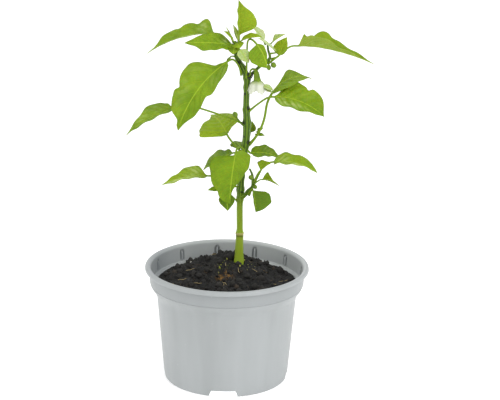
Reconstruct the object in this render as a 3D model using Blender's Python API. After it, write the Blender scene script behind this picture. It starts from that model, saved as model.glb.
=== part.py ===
"""A potted chilli pepper plant in flower: grey moulded pot, peat, stems, leaves, one flower and buds.

The pot's axis is the Z axis, the floor is z = 0, +X is to the right and -Y is the front. The plan is in
millimetres and degrees; a bearing is counted from +X towards +Y, and a rise is counted up from level.
"""
import bpy
import bmesh
import numpy as np

for thing in list(bpy.data.objects):
    bpy.data.objects.remove(thing, do_unlink=True)

MM = 0.001
GAP = 0.35                     # clear space between two touching pieces

# ---- Pot ------------------------------------------------------------------------------------------------
POT_RIM_RADIUS = 70.0
POT_HEIGHT = 100.0
POT_FOOT_RADIUS = 53.0
POT_SHOULDER_RADIUS = 59.6
BASE_DISC_RADIUS = 20.0        # flat disc in the middle of the underside, where the pot rests
FLOOR_HEIGHT = 7.4
POT_SIDES = 60
LUG_COUNT = 12                 # stacking pockets inside the collar
LUG_WIDTH = 5.0
LUG_DEPTH = 1.0
LUG_FIRST = 8.0                # bearing of the first pocket
DRAIN_COUNT = 8
DRAIN_RADIUS = 3.2
DRAIN_RING = 34.0
NOTCH_COUNT = 4                # gaps in the foot that let water out
NOTCH_WIDTH = 25.0
NOTCH_TOP_WIDTH = 20.0
NOTCH_HEIGHT = 5.5
NOTCH_FIRST = 268.0

# ---- Peat -----------------------------------------------------------------------------------------------
PEAT_EDGE_HEIGHT = 84.0
PEAT_MOUND = 10.0
MOUND_X, MOUND_Y = 9.0, 30.0

# ---- Stems: x, y, z and radius of points along each, in millimetres --------------------------------------
STEMS = {
    "main_stem": [
        (10.4, 24, 70, 2.6), (10.4, 24, 84, 4.3), (10.4, 24, 94, 4.3), (10.4, 24, 101, 3.75), (10.4, 24, 108, 3.45),
        (10.6, 24, 116, 3.25), (10.6, 24, 121, 3.3), (10.6, 24, 123.5, 2.7), (10.4, 23.5, 150, 2.7), (10.8, 23, 160, 3.1), (11.6, 22.5, 175, 2.7), (13, 22, 190, 2.9),
        (14.6, 22, 202, 3.1), (15.2, 22, 219, 3.3), (14.4, 22, 234, 2.6), (14.6, 22, 250, 2.6), (14.6, 22, 258, 2.9),
        (11, 22, 267, 2.3), (7, 22, 274, 1.9), (4.6, 22, 281, 1.6), (4.6, 22, 290, 1.5)],
    "right_branch": [
        (18.3, 20.8, 261.8, 1.4), (21, 20, 264.4, 1.3), (25, 20, 268.5, 1.3), (30, 20, 272, 1.3), (33.5, 20, 276, 1.2),
        (32, 22, 283, 0.9), (31.4, 23, 289, 0.8)],
    "low_shoot": [
        (15.2, 19.4, 157, 1.7), (17.5, 17, 161, 1.4), (20.5, 15, 165, 1.2), (21, 14, 171, 1.1), (20.6, 15, 175, 1.0),
        (18, 16, 181, 0.8)],
    "bud_shoot": [
        (12.0, 18.6, 218.4, 0.9), (10, 17.4, 220.5, 0.8), (6.8, 17, 224.5, 0.8)],
}

# ---- Leaves: stem and height, stalk (bearing, rise, sag, length), blade (bearing, pitch, droop, length,
# ---- width), then roll about the midrib, fold of each half, and belly, where along the blade it is widest --
LEAVES = [
    ("top_leaf", "main_stem", 288, (10, 77, 0, 6), (95, 86, 15, 31, 28), 35, 35, 0.33),
    ("back_left_leaf", "main_stem", 284, (138, 45, 30, 21), (175, 4, 42, 62, 28), -5, 28, 0.27),
    ("front_left_leaf", "main_stem", 286, (221, 25, 10, 6), (198, 10, 5, 38, 20), -40, 10, 0.33),
    ("big_left_leaf", "main_stem", 263, (225, 64, 60, 17), (190, -28, 45, 70, 36), -50, 12, 0.42),
    ("mid_left_leaf", "main_stem", 219, (180, 27, 10, 48), (187, -9, 29, 59, 26), -10, 5, 0.33),
    ("mid_back_leaf", "main_stem", 194, (150, 46, -10, 23), (112, 30, 40, 40, 36), -15, 0, 0.33),
    ("front_heart_leaf", "main_stem", 197, (244, 50, 60, 20), (249, -67, 20, 43, 37), 0, 8, 0.22),
    ("low_back_leaf", "main_stem", 190, (178, -3, 10, 9), (172, -28, 20, 30, 20), -10, 0, 0.33),
    ("low_left_leaf", "main_stem", 171, (180, 4, 10, 29), (189, 4, 30, 38, 20), -20, 10, 0.33),
    ("low_front_leaf", "main_stem", 151, (195, 50, 10, 15), (282, -51, 10, 15, 14), 0, 0, 0.33),
    ("right_dark_leaf", "main_stem", 195, (337, -18, 5, 4), (19, 8, 32, 26, 20), 20, 20, 0.33),
    ("low_right_leaf", "low_shoot", 158, (346, 64, 5, 37), (351, 12, 45, 40, 20), 10, 15, 0.33),
    ("low_dark_leaf", "low_shoot", 159, (305, 42, 0, 8), (289, -53, 20, 21, 29), -35, 35, 0.33),
    ("long_right_leaf", "right_branch", 273, (339, 31, -10, 29), (352, 7, 32, 63, 27), 2, 46, 0.27),
    ("arched_right_leaf", "main_stem", 202, (338, 77, 10, 43), (15, 58, 80, 45, 20), 0, 20, 0.42),
    ("big_right_leaf", "main_stem", 231, (333, 43, 10, 28), (344, -2, 32, 45, 32), 40, 18, 0.45),
    ("round_top_leaf", "main_stem", 261, (276, 78, 0, 34), (333, -30, 25, 24, 19), 60, 0, 0.33),
    ("pale_young_leaf", "main_stem", 283, (285, 40, 40, 10), (316, -39, 10, 13, 8), 30, 10, 0.33),
    ("far_tip_leaf", "right_branch", 288, (150, 60, 0, 2), (147, 51, 10, 16, 9), 0, 15, 0.33),
    ("near_tip_leaf", "right_branch", 288, (340, 50, 0, 2), (340, 40, 10, 14, 10), 20, 15, 0.33),
    ("wing_leaf", "main_stem", 288.5, (334, 40, 0, 3), (334, 29, 25, 20, 8), 20, 25, 0.33),
    ("upright_leaf", "right_branch", 276, (350, 20, 0, 6), (46, 61, 10, 17, 12), 10, 10, 0.33),
    ("strip_leaf", "right_branch", 280, (345, 12, 0, 6), (195, 42, 10, 20, 6), -20, 10, 0.33),
    ("small_pale_leaf", "main_stem", 289, (255, 35, 0, 3), (216, 49, 10, 14, 10), -30, 10, 0.33),
    ("tiny_leaf", "main_stem", 277, (206, 20, 40, 4), (206, -51, 10, 7, 5), 0, 0, 0.33),
    ("bract", "main_stem", 289.5, (150, 60, 0, 3), (185, 70, 10, 10, 5), 0, 15, 0.33),
    ("shoot_leaf_upper", "low_shoot", 172, (318, 58, 10, 9), (0, 46, 10, 14, 10), 20, 15, 0.33),
    ("shoot_leaf_lower", "low_shoot", 168.5, (350, 21, 10, 9), (350, -13, 30, 14, 10), 40, 15, 0.33),
    ("narrow_leaf", "main_stem", 163, (200, 5, 10, 16), (203, -1, 5, 11, 6), -30, 0, 0.33),
    ("node_leaf", "main_stem", 201, (60, 65, 0, 9), (71, 63, 10, 10, 9), 0, 0, 0.33),
    ("rear_leaf", "main_stem", 194, (110, 20, 10, 3), (108, 15, 20, 20, 16), 0, 0, 0.33),
]
BLADE_THICKNESS = 0.9
BLADE_EDGE = 0.5

# ---- Flower and buds -------------------------------------------------------------------------------------
PEDICEL = [(17.5, 17.7, 262.4, 0.7), (17.4, 17.4, 265.4, 0.7), (19.3, 17, 267.2, 0.8), (21.8, 17, 266.2, 1.3)]
CALYX = [(22.3, 17, 264.4, 2.0), (22.9, 17, 260.0, 2.7), (23.2, 17, 257.2, 3.1)]
COROLLA_TOP = (23.3, 17, 256.6)
COROLLA_HEIGHT = 10.5
COROLLA_RADIUS = 7.4
BUDS = [
    ("bud_right", (35.6, 16.6, 272.2), (300, -20), 5.5, 2.2),
    ("bud_right_low", (32.6, 17.0, 270.6), (280, -60), 4.5, 1.8),
    ("bud_shoot_front", (19.9, 12.0, 173.4), (250, 35), 5.5, 2.0),
    ("bud_shoot_side", (21.8, 12.3, 166.6), (300, -5), 5.0, 1.8),
    ("bud_left", (6.2, 16.9, 225.8), (190, 65), 5.0, 2.2),
]


def slot(name, colour, roughness=0.6):
    """One material, shared by every piece that names it"""
    mat = bpy.data.materials.get(name) or bpy.data.materials.new(name)
    mat.use_nodes = True
    shader = mat.node_tree.nodes["Principled BSDF"]
    shader.inputs["Base Color"].default_value = (*colour, 1.0)
    shader.inputs["Roughness"].default_value = roughness
    return mat


def body(name, points, faces, mat):
    """One closed solid from points in millimetres, with its faces turned outwards"""
    mesh = bpy.data.meshes.new(name)
    mesh.from_pydata([tuple(p) for p in np.asarray(points, float) * MM], [], faces)
    work = bmesh.new()
    work.from_mesh(mesh)
    bmesh.ops.recalc_face_normals(work, faces=work.faces[:])
    work.to_mesh(mesh)
    work.free()
    obj = bpy.data.objects.new(name, mesh)
    bpy.context.scene.collection.objects.link(obj)
    if mat is not None:
        mesh.materials.append(mat)
    return obj


def rings_to_body(name, rings, mat):
    """A closed skin over a row of equal rings, with a flat cap at each end"""
    rings = np.asarray(rings, float)
    count, sides = rings.shape[:2]
    faces = [(i * sides + j, i * sides + (j + 1) % sides, (i + 1) * sides + (j + 1) % sides, (i + 1) * sides + j)
             for i in range(count - 1) for j in range(sides)]
    faces += [tuple(range(sides)), tuple(range((count - 1) * sides, count * sides))[::-1]]
    return body(name, rings.reshape(-1, 3), faces, mat)


def lathe(name, profile, sides, mat):
    """A solid of revolution about Z: profile is (radius, height) from the axis below to the axis above"""
    profile = np.asarray(profile, float)
    turn = np.arange(sides) * 2 * np.pi / sides
    points, faces = [(0, 0, profile[0, 1])], []
    inner = profile[1:-1]
    for r, z in inner:
        points += [(r * np.cos(a), r * np.sin(a), z) for a in turn]
    points.append((0, 0, profile[-1, 1]))
    for j in range(sides):
        k = (j + 1) % sides
        faces.append((0, 1 + k, 1 + j))
        for i in range(len(inner) - 1):
            a, b = 1 + i * sides, 1 + (i + 1) * sides
            faces.append((a + j, a + k, b + k, b + j))
        last = 1 + (len(inner) - 1) * sides
        faces.append((last + j, last + k, len(points) - 1))
    return body(name, points, faces, mat)


def cut(target, cutter):
    """Take one solid out of another and drop the cutter"""
    cutter.hide_render = True
    cutter.display_type = "WIRE"
    mod = target.modifiers.new("cut", "BOOLEAN")
    mod.operation, mod.solver, mod.object = "DIFFERENCE", "EXACT", cutter
    bpy.context.view_layer.objects.active = target
    for obj in bpy.context.selected_objects:
        obj.select_set(False)
    target.select_set(True)
    bpy.ops.object.modifier_apply(modifier=mod.name)
    bpy.data.objects.remove(cutter, do_unlink=True)


def direction(bearing, rise):
    b, e = np.radians(bearing), np.radians(rise)
    return np.stack([np.cos(b) * np.cos(e), np.sin(b) * np.cos(e), np.sin(e) + 0 * b], -1)


def unit(v):
    return v / np.linalg.norm(v, axis=-1, keepdims=True)


def tube_rings(points, sides, grow=0.0):
    """Circles square to the path through the points, turned as little as possible from one to the next"""
    points = np.asarray(points, float)
    centre, radius = points[:, :3], points[:, 3] + grow
    step = unit(np.diff(centre, axis=0))
    along = unit(np.vstack([step[:1], step[1:] + step[:-1], step[-1:]]))
    side = unit(np.cross(along[0], (0.0, 1.0, 0.1)))
    turn = np.arange(sides) * 2 * np.pi / sides
    rings = []
    for c, r, d in zip(centre, radius, along):
        side = unit(side - np.dot(side, d) * d)
        other = np.cross(d, side)
        rings.append([c + r * (np.cos(a) * side + np.sin(a) * other) for a in turn])
    return rings


def stem_point(stem, height):
    """Centre and radius of a stem at a height"""
    p = np.asarray(STEMS[stem], float)
    return np.array([np.interp(height, p[:, 2], p[:, k]) for k in range(4)])


def blade_width(t, belly, tip=1.25):
    """Share of the full width at t along the blade: 0 at both ends and 1 where it is widest"""
    base = tip * belly / (1 - belly)
    return t ** base * (1 - t) ** tip / (belly ** base * (1 - belly) ** tip)


def leaf_rings(row):
    """The cross-sections of one leaf: a round stalk that flattens into a folded, drooping blade"""
    _, stem, height, stalk, blade, roll, fold, belly = row
    bearing, rise, sag, stalk_len = stalk
    heading, pitch, droop, blade_len, width = blade
    small = blade_len < 22
    n_stalk, n_blade = (2, 6) if small else (4, 8)
    stalk_r = 0.6 if small else 0.85
    at = stem_point(stem, height)
    clear = 1.3 if stem == "right_branch" else 0.5
    start = at[:3] + direction(bearing, 0) * (at[3] + clear + 0.8 * abs(np.sin(np.radians(rise))))

    s = np.linspace(0, 1, n_stalk + 1)
    mid = (s[1:] + s[:-1]) / 2
    turn = np.clip((mid - 0.6) / 0.4, 0, 1)[:, None]
    turn = turn * turn * (3 - 2 * turn)
    step = unit((1 - turn) * direction(bearing + 0 * mid, rise - sag * mid) + turn * direction(heading, pitch))
    stalk_pts = np.vstack([start, start + np.cumsum(step * stalk_len / n_stalk, axis=0)])

    t = np.linspace(0, 1, n_blade + 1)
    half = (t[1:] + t[:-1]) / 2
    run = direction(heading + 0 * half, pitch - droop * half) * blade_len / n_blade
    blade_pts = stalk_pts[-1] + np.vstack([np.zeros(3), np.cumsum(run, axis=0)])
    along = direction(heading + 0 * t, pitch - droop * t)
    b = np.radians(heading)
    level = np.array([-np.sin(b), np.cos(b), 0.0]) + 0 * along
    r = np.radians(roll)
    left = level * np.cos(r) + np.cross(along, level) * np.sin(r)
    up = np.cross(along, left)

    rings = []
    half_w = np.maximum(width / 2 * blade_width(t, belly), 0.5)
    half_w[0] = stalk_r * 1.15
    f = np.radians(fold)
    flat = np.array([1, 0.4, -0.4, -1, -1, -0.4, 0.4, 1])
    lift = np.array([BLADE_EDGE, BLADE_THICKNESS, BLADE_THICKNESS, BLADE_EDGE]) / 2
    lift = np.concatenate([lift, -lift])
    for k in range(n_blade + 1):
        m = min(1.0, k / 1.0)
        thick = lift * (1 if k else 1.6) * (0.8 if k == n_blade else 1)
        fk = f * m
        rings.append(blade_pts[k] + half_w[k] * (flat[:, None] * np.cos(fk) * left[k]
                     + np.abs(flat)[:, None] * np.sin(fk) * up[k]) + thick[:, None] * up[k])
    a = np.radians(22.5 + 45 * np.arange(8))
    side = left[0]
    tangents = unit(np.vstack([step[:1], step[1:] + step[:-1]]))
    for c, d in list(zip(stalk_pts[:-1], tangents))[::-1]:
        side = unit(side - np.dot(side, d) * d)
        high = np.cross(d, side)
        rings.insert(0, c + stalk_r * (np.cos(a)[:, None] * side + np.sin(a)[:, None] * high))
    return rings


# ---- Pot: one moulded piece ------------------------------------------------------------------------------
pot_profile = [
    (0, 0), (BASE_DISC_RADIUS, 0), (21.5, 6.0), (49.6, 6.0), (50.4, 0), (52.0, 0), (52.9, 1.0),
    (POT_FOOT_RADIUS + 0.4, 4), (POT_SHOULDER_RADIUS, 73.4), (60.4, 75.8), (62.3, 78.7), (64.2, 81.4), (65.4, 83.8),
    (65.7, 85.0), (66.4, 95.4), (68.4, 95.6), (69.7, 96.4), (POT_RIM_RADIUS, 97.6), (69.6, 99.2), (68.2, POT_HEIGHT),
    (66.2, 99.6), (64.8, 98.2), (63.9, 85.3), (63.3, 84.7), (61.3, 84.4), (60.3, 83.2), (59.3, 80.5), (58.2, 74.0),
    (52.2, 8.6), (51.2, FLOOR_HEIGHT), (20.2, FLOOR_HEIGHT), (18.8, 1.6), (0, 1.6)]
pot = lathe("pot", pot_profile, POT_SIDES, slot("pot_plastic", (0.52, 0.56, 0.58), 0.45))

for i in range(LUG_COUNT):
    a = np.radians(LUG_FIRST + i * 360 / LUG_COUNT)
    out, side = np.array([np.cos(a), np.sin(a), 0]), np.array([-np.sin(a), np.cos(a), 0])
    w = LUG_WIDTH / 2
    outline = [(-w, 86.2), (w, 86.2), (w, 92.6), (w * 0.7, 94.4), (0, 95.2), (-w * 0.7, 94.4), (-w, 92.6)]
    rings = [[out * r + side * x + np.array([0, 0, z]) for x, z in outline] for r in (60.0, 63.8 + LUG_DEPTH)]
    cut(pot, rings_to_body("lug_cutter", rings, None))
for i in range(DRAIN_COUNT):
    a = np.radians(22.5 + i * 360 / DRAIN_COUNT)
    x, y = DRAIN_RING * np.cos(a), DRAIN_RING * np.sin(a)
    cut(pot, rings_to_body("drain_cutter", tube_rings([(x, y, 3, DRAIN_RADIUS), (x, y, 12, DRAIN_RADIUS)], 10), None))
for i in range(NOTCH_COUNT):
    a = np.radians(NOTCH_FIRST + i * 360 / NOTCH_COUNT)
    out, side = np.array([np.cos(a), np.sin(a), 0]), np.array([-np.sin(a), np.cos(a), 0])
    outline = [(-NOTCH_WIDTH / 2, -1), (NOTCH_WIDTH / 2, -1), (NOTCH_TOP_WIDTH / 2, NOTCH_HEIGHT),
               (-NOTCH_TOP_WIDTH / 2, NOTCH_HEIGHT)]
    rings = [[out * r + side * x + np.array([0, 0, z]) for x, z in outline] for r in (42.0, 60.0)]
    cut(pot, rings_to_body("notch_cutter", rings, None))

# ---- Peat: fills the pot and rises in a mound round the stem ----------------------------------------------
peat_rings = [(51.0, FLOOR_HEIGHT + GAP), (51.7, 9.4), (57.75, 74.0), (58.85, 80.5), (59.6, 82.6)]
top_radii = [59.3, 55, 50, 42, 34, 26, 18, 10, 4]
turn = np.arange(30) * 2 * np.pi / 30


def peat_height(x, y):
    """Height of the surface: a mound with shallow lumps that fade out at the wall"""
    reach = np.clip((59.3 - np.hypot(x, y)) / 12, 0, 1)
    mound = PEAT_MOUND * np.exp(-((x - MOUND_X) ** 2 + (y - MOUND_Y) ** 2) / (2 * 15.0 ** 2))
    lumps = 0.8 * np.sin(0.21 * x + 1.3) * np.cos(0.17 * y - 0.6) + 0.5 * np.sin(0.33 * (x + y))
    return PEAT_EDGE_HEIGHT + reach * (mound + 0.8 + lumps)


layers = [np.stack([r * np.cos(turn), r * np.sin(turn), 0 * turn + z], -1) for r, z in peat_rings]
for r in top_radii:
    x, y = r * np.cos(turn), r * np.sin(turn)
    layers.append(np.stack([x, y, peat_height(x, y)], -1))
peat = rings_to_body("potting_soil", layers, slot("peat", (0.02, 0.016, 0.013), 0.95))
root = [p for p in STEMS["main_stem"] if p[2] < 125]
root[0] = (root[0][0], root[0][1], root[0][2] - GAP, root[0][3])
cut(peat, rings_to_body("root_cutter", tube_rings(root, 10, GAP + 0.05), None))

# ---- Stems -----------------------------------------------------------------------------------------------
stem_slot = slot("stem_green", (0.10, 0.24, 0.04), 0.5)
for name, points in STEMS.items():
    rings_to_body(name, tube_rings(points, 10 if name == "main_stem" else 8), stem_slot)

# ---- Leaves ----------------------------------------------------------------------------------------------
leaf_slot = slot("leaf_green", (0.22, 0.42, 0.05), 0.5)
for row in LEAVES:
    rings_to_body(row[0], leaf_rings(row), leaf_slot)

# ---- Flower: stalk and calyx in one, bell of petals, pistil with stamens ------------------------------------
rings_to_body("flower_calyx", tube_rings(PEDICEL + CALYX, 10), slot("calyx_green", (0.16, 0.34, 0.05), 0.5))

tx, ty, tz = COROLLA_TOP
bell = []
for drop, r in ((0, 3.0), (1.5, 4.6), (4.0, 5.9), (7.0, 6.8), (COROLLA_HEIGHT, COROLLA_RADIUS)):
    bell.append((r, tz - drop))
lobes = 5
ring_turn = np.arange(20) * 2 * np.pi / 20
edge_dip = 1.6 * np.cos(lobes * ring_turn)
outer = [np.stack([tx + r * np.cos(ring_turn), ty + r * np.sin(ring_turn), 0 * ring_turn + z], -1) for r, z in bell]
outer[-1][:, 2] -= edge_dip - 1.6
inner = [np.stack([tx + max(r - 0.7, 0.5) * np.cos(ring_turn), ty + max(r - 0.7, 0.5) * np.sin(ring_turn),
                   0 * ring_turn + z - (0.8 if i == 0 else 0)], -1) for i, (r, z) in enumerate(bell)]
inner[-1][:, 2] -= edge_dip - 1.6
rings_to_body("flower_petals", outer + inner[::-1], slot("petal_white", (0.86, 0.88, 0.80), 0.45))
rings_to_body("flower_pistil", tube_rings([(tx, ty, tz - 1.3, 1.5), (tx, ty, tz - 3.5, 1.9), (tx, ty, tz - 6.5, 1.7),
                                           (tx, ty, tz - 8.6, 0.7)], 8), slot("pistil_green", (0.45, 0.50, 0.20), 0.5))

# ---- Buds ------------------------------------------------------------------------------------------------
for name, (x, y, z), (bearing, rise), length, radius in BUDS:
    d = direction(bearing, rise)
    steps = ((0, 0.45), (0.12, 0.75), (0.4, 1.0), (0.75, 0.85), (1.0, 0.35))
    rings_to_body(name, tube_rings([(*(np.array([x, y, z]) + d * length * s), radius * k) for s, k in steps], 8),
                  slot("bud_green", (0.25, 0.42, 0.08), 0.5))
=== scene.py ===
# %% [markdown]
# # A young chilli pepper plant in its pot
#
# This lesson builds a chilli plant in flower: a moulded nursery pot, dark peat, a ribbed green stem, drooping
# pointed leaves, one hanging flower and a few buds. Every shape is worked out with numpy as a grid of points,
# and every finish is wired from plain sums on the surface's own coordinates.
#
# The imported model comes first. It says how large the plant is and where its own pieces go. Ten small leaves,
# the loose peat and a scar ring have no piece in it, so their places are estimates.

import bpy
import numpy as np
from mathutils import Matrix, Vector


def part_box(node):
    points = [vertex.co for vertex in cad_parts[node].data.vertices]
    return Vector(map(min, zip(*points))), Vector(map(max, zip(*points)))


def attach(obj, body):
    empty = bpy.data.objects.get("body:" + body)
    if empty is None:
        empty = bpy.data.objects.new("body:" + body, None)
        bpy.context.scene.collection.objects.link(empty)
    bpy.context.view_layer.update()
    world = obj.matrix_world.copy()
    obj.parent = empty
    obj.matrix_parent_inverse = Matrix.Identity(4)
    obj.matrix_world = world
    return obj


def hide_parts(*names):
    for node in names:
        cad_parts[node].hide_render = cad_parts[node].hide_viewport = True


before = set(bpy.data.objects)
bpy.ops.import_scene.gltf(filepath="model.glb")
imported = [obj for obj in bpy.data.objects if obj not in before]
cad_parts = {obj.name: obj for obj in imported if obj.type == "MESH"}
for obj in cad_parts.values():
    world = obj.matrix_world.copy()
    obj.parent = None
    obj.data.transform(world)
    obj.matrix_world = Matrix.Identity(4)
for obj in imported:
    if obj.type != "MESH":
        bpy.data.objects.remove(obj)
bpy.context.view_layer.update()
print("nodes to stand in for:", len(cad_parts))

# %% [markdown]
# Plants are planned most easily in millimetres, with the pot's axis as the centre. The pot's own box gives
# both: its middle is the axis, and its height is 100 of our units, so the plan would grow with the pot.

# %% Units and places
pot_low, pot_high = (np.array(c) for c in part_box("pot"))
AXIS = np.array([(pot_low[0] + pot_high[0]) / 2, (pot_low[1] + pot_high[1]) / 2, pot_low[2]])
MM = (pot_high[2] - pot_low[2]) / 100
RIM = (pot_high[0] - pot_low[0]) / 2 / MM
print(f"one plan unit is {MM * 1000:.3f} mm, and the rim's radius is {RIM:.1f} of them")


def metres(points):
    """Plan units to metres in the row frame: scale, then move onto the pot's axis"""
    return np.asarray(points, float) * MM + AXIS


# %% [markdown]
# ## The view
#
# The plant is seen from a little above through a long lens, so the pot's rim shows as a shallow ellipse. The
# camera stands a metre and a half in front, at about the height of a table lamp, and leans by one degree. Its
# place, aim, lean and lens were solved by a separate fitting program and rounded; they were not chosen by
# hand. The stage is a white floor in a white room, lit by a large soft panel from the upper right and a weak
# one from the left, so leaves keep a light side and a shaded side.

# %% Camera
camera = bpy.data.objects.new("camera", bpy.data.cameras.new("camera"))
bpy.context.scene.collection.objects.link(camera)
stand, target, lean = Vector((0.0, -1.5, 0.627)), Vector((0.0187, 0.0, 0.1579)), np.radians(0.95)
forward = (target - stand).normalized()
level = forward.cross(Vector((0, 0, 1))).normalized()
over = level.cross(forward)
across = level * np.cos(lean) + over * np.sin(lean)
above = over * np.cos(lean) - level * np.sin(lean)
camera.matrix_world = Matrix.Translation(stand) @ Matrix((across, above, -forward)).transposed().to_4x4()
camera.data.sensor_width = 36
camera.data.lens = 134.06
camera.data.clip_end = 20
bpy.context.scene.camera = camera
bpy.context.scene.view_settings.view_transform = "Standard"
print("distance to the plant:", round((target - stand).length, 3), "m")

# %% Floor and lights
floor = bpy.data.objects.new("floor", bpy.data.meshes.new("floor"))
floor.data.from_pydata([(x, y, 0) for x, y in ((-6, -6), (6, -6), (6, 6), (-6, 6))], [], [(0, 1, 2, 3)])
bpy.context.scene.collection.objects.link(floor)
world = bpy.data.worlds.new("studio")
bpy.context.scene.world = world
world.use_nodes = True
world.node_tree.nodes["Background"].inputs["Color"].default_value = (1, 1, 1, 1)
world.node_tree.nodes["Background"].inputs["Strength"].default_value = 1.0


def panel(name, place, size, power):
    """A square soft light at place, aimed at the middle of the plant"""
    data = bpy.data.lights.new(name, "AREA")
    data.size, data.energy = size, power
    light = bpy.data.objects.new(name, data)
    light.location = place
    light.rotation_euler = (Vector((0.01, 0.01, 0.17)) - Vector(place)).to_track_quat("-Z", "Y").to_euler()
    bpy.context.scene.collection.objects.link(light)
    return light


panel("key_panel", (0.85, -1.0, 1.25), 0.8, 9)
panel("left_panel", (-1.0, -0.3, 1.1), 0.7, 3)

# %% [markdown]
# ## Sums that paint
#
# A finish is a chain of small sums: how far from the midrib, how near a vein, how light. Blender holds those
# sums as nodes, which are slow to read. One small class lets them be written as arithmetic: each operator
# adds its Math node, and `node` adds any other. Colours are mixed with a Mix node, because a Math node would
# turn them grey.

# %% Arithmetic on sockets
class Flow:
    """A value on its way through one material. Operators add Math nodes; node() adds any other node"""

    def __init__(self, tree, socket=None):
        self.tree, self.socket = tree, socket

    def node(self, kind, settings=None, sockets=None, out=0):
        made = self.tree.nodes.new(kind)
        for key, value in (settings or {}).items():
            if key == "stops":
                ramp = made.color_ramp
                while len(ramp.elements) < len(value):
                    ramp.elements.new(0.5)
                for element, (at, colour) in zip(ramp.elements, value):
                    element.position, element.color = at, (*colour, 1)
            else:
                setattr(made, key, value)
        for key, value in (sockets or {}).items():
            if isinstance(value, Flow):
                self.tree.links.new(value.socket, made.inputs[key])
            else:
                made.inputs[key].default_value = value
        return Flow(self.tree, made.outputs[out])

    def math(self, operation, *values):
        return self.node("ShaderNodeMath", {"operation": operation}, dict(enumerate(values)))

    def __add__(self, other): return self.math("ADD", self, other)
    def __radd__(self, other): return self.math("ADD", other, self)
    def __sub__(self, other): return self.math("SUBTRACT", self, other)
    def __rsub__(self, other): return self.math("SUBTRACT", other, self)
    def __mul__(self, other): return self.math("MULTIPLY", self, other)
    def __rmul__(self, other): return self.math("MULTIPLY", other, self)
    def __truediv__(self, other): return self.math("DIVIDE", self, other)
    def __rtruediv__(self, other): return self.math("DIVIDE", other, self)
    def __pow__(self, other): return self.math("POWER", self, other)
    def __abs__(self): return self.math("ABSOLUTE", self)


def rise(value, low, high):
    """0 below low, 1 above high, and an S-curve between; with low above high it falls instead"""
    if low > high:
        return 1 - rise(value, high, low)
    return value.node("ShaderNodeMapRange", {"interpolation_type": "SMOOTHSTEP"},
                      {"Value": value, "From Min": low, "From Max": high})


def tint(first, second, share):
    """first where share is 0, second where it is 1. Each is a colour or a Flow; share is a Flow"""
    pair = {key: c if isinstance(c, Flow) else (*c, 1) for key, c in ((6, first), (7, second))}
    return share.node("ShaderNodeMix", {"data_type": "RGBA"}, {0: share, **pair}, out=2)


def noise(flow, size, detail=2.0, rough=0.5, stretch=(1, 1, 1)):
    """Cloudy value, 0 to 1, with clouds about size metres across, stretched along the axes"""
    place = flow.node("ShaderNodeTexCoord", out="Object")
    if stretch != (1, 1, 1):
        place = flow.node("ShaderNodeMapping", {}, {"Vector": place, "Scale": tuple(1 / s for s in stretch)})
    return flow.node("ShaderNodeTexNoise", {}, {"Vector": place, "Scale": 0.5 / size, "Detail": detail,
                                                "Roughness": rough})


def finish(name, colour, roughness, height=None, depth=0.0002, strength=1.0, **fixed):
    """A material from a function each for colour and roughness, and one for the bump's height. fixed sets
    other sockets, to a plain value or to what a function returns"""
    mat = bpy.data.materials.new(name)
    mat.use_nodes = True
    shader = mat.node_tree.nodes["Principled BSDF"]
    flow = Flow(mat.node_tree)
    mat.node_tree.links.new(colour(flow).socket, shader.inputs["Base Color"])
    mat.node_tree.links.new(roughness(flow).socket, shader.inputs["Roughness"])
    if height is not None:
        bump = flow.node("ShaderNodeBump", {}, {"Height": height(flow), "Distance": depth, "Strength": strength})
        mat.node_tree.links.new(bump.socket, shader.inputs["Normal"])
    for key, value in fixed.items():
        socket = shader.inputs[key.replace("_", " ")]
        if callable(value):
            mat.node_tree.links.new(value(flow).socket, socket)
        else:
            socket.default_value = value
    print(f"finish {name}: {len(mat.node_tree.nodes)} nodes")
    return mat


# %% Floor finish
def floor_glow(f):
    """How brightly the floor shines: a little everywhere, and more under the pot, where this painted light lifts
    the pot's shadow so its foot gaps show white
    """
    place = f.node("ShaderNodeTexCoord", out="Object")
    far = f.node("ShaderNodeVectorMath", {"operation": "LENGTH"}, {0: place}, out="Value")
    return tint((0.28, 0.28, 0.28), (1.1, 1.1, 1.1), rise(far, 0.053, 0.046))


floor.data.materials.append(finish(
    "floor_white", lambda f: tint((0.92, 0.92, 0.92), (0.95, 0.95, 0.95), noise(f, 0.05)),
    lambda f: 0.85 + 0.1 * noise(f, 0.02), Emission_Color=floor_glow, Emission_Strength=1.0))

# %% [markdown]
# ## Skins over rings
#
# Nearly everything on a plant, and a moulded pot too, is a closed skin over a row of rings: a stem's rings
# are circles along its path, a leaf's rings flatten from a round stalk into a thin blade. So one helper turns
# a block of ring points into a closed mesh, with a point at each end where the skin closes, and turns its
# faces outwards.

# %% Mesh helpers
def unit(v):
    """Vectors divided by their own lengths"""
    return v / np.maximum(np.linalg.norm(v, axis=-1, keepdims=True), 1e-12)


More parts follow.
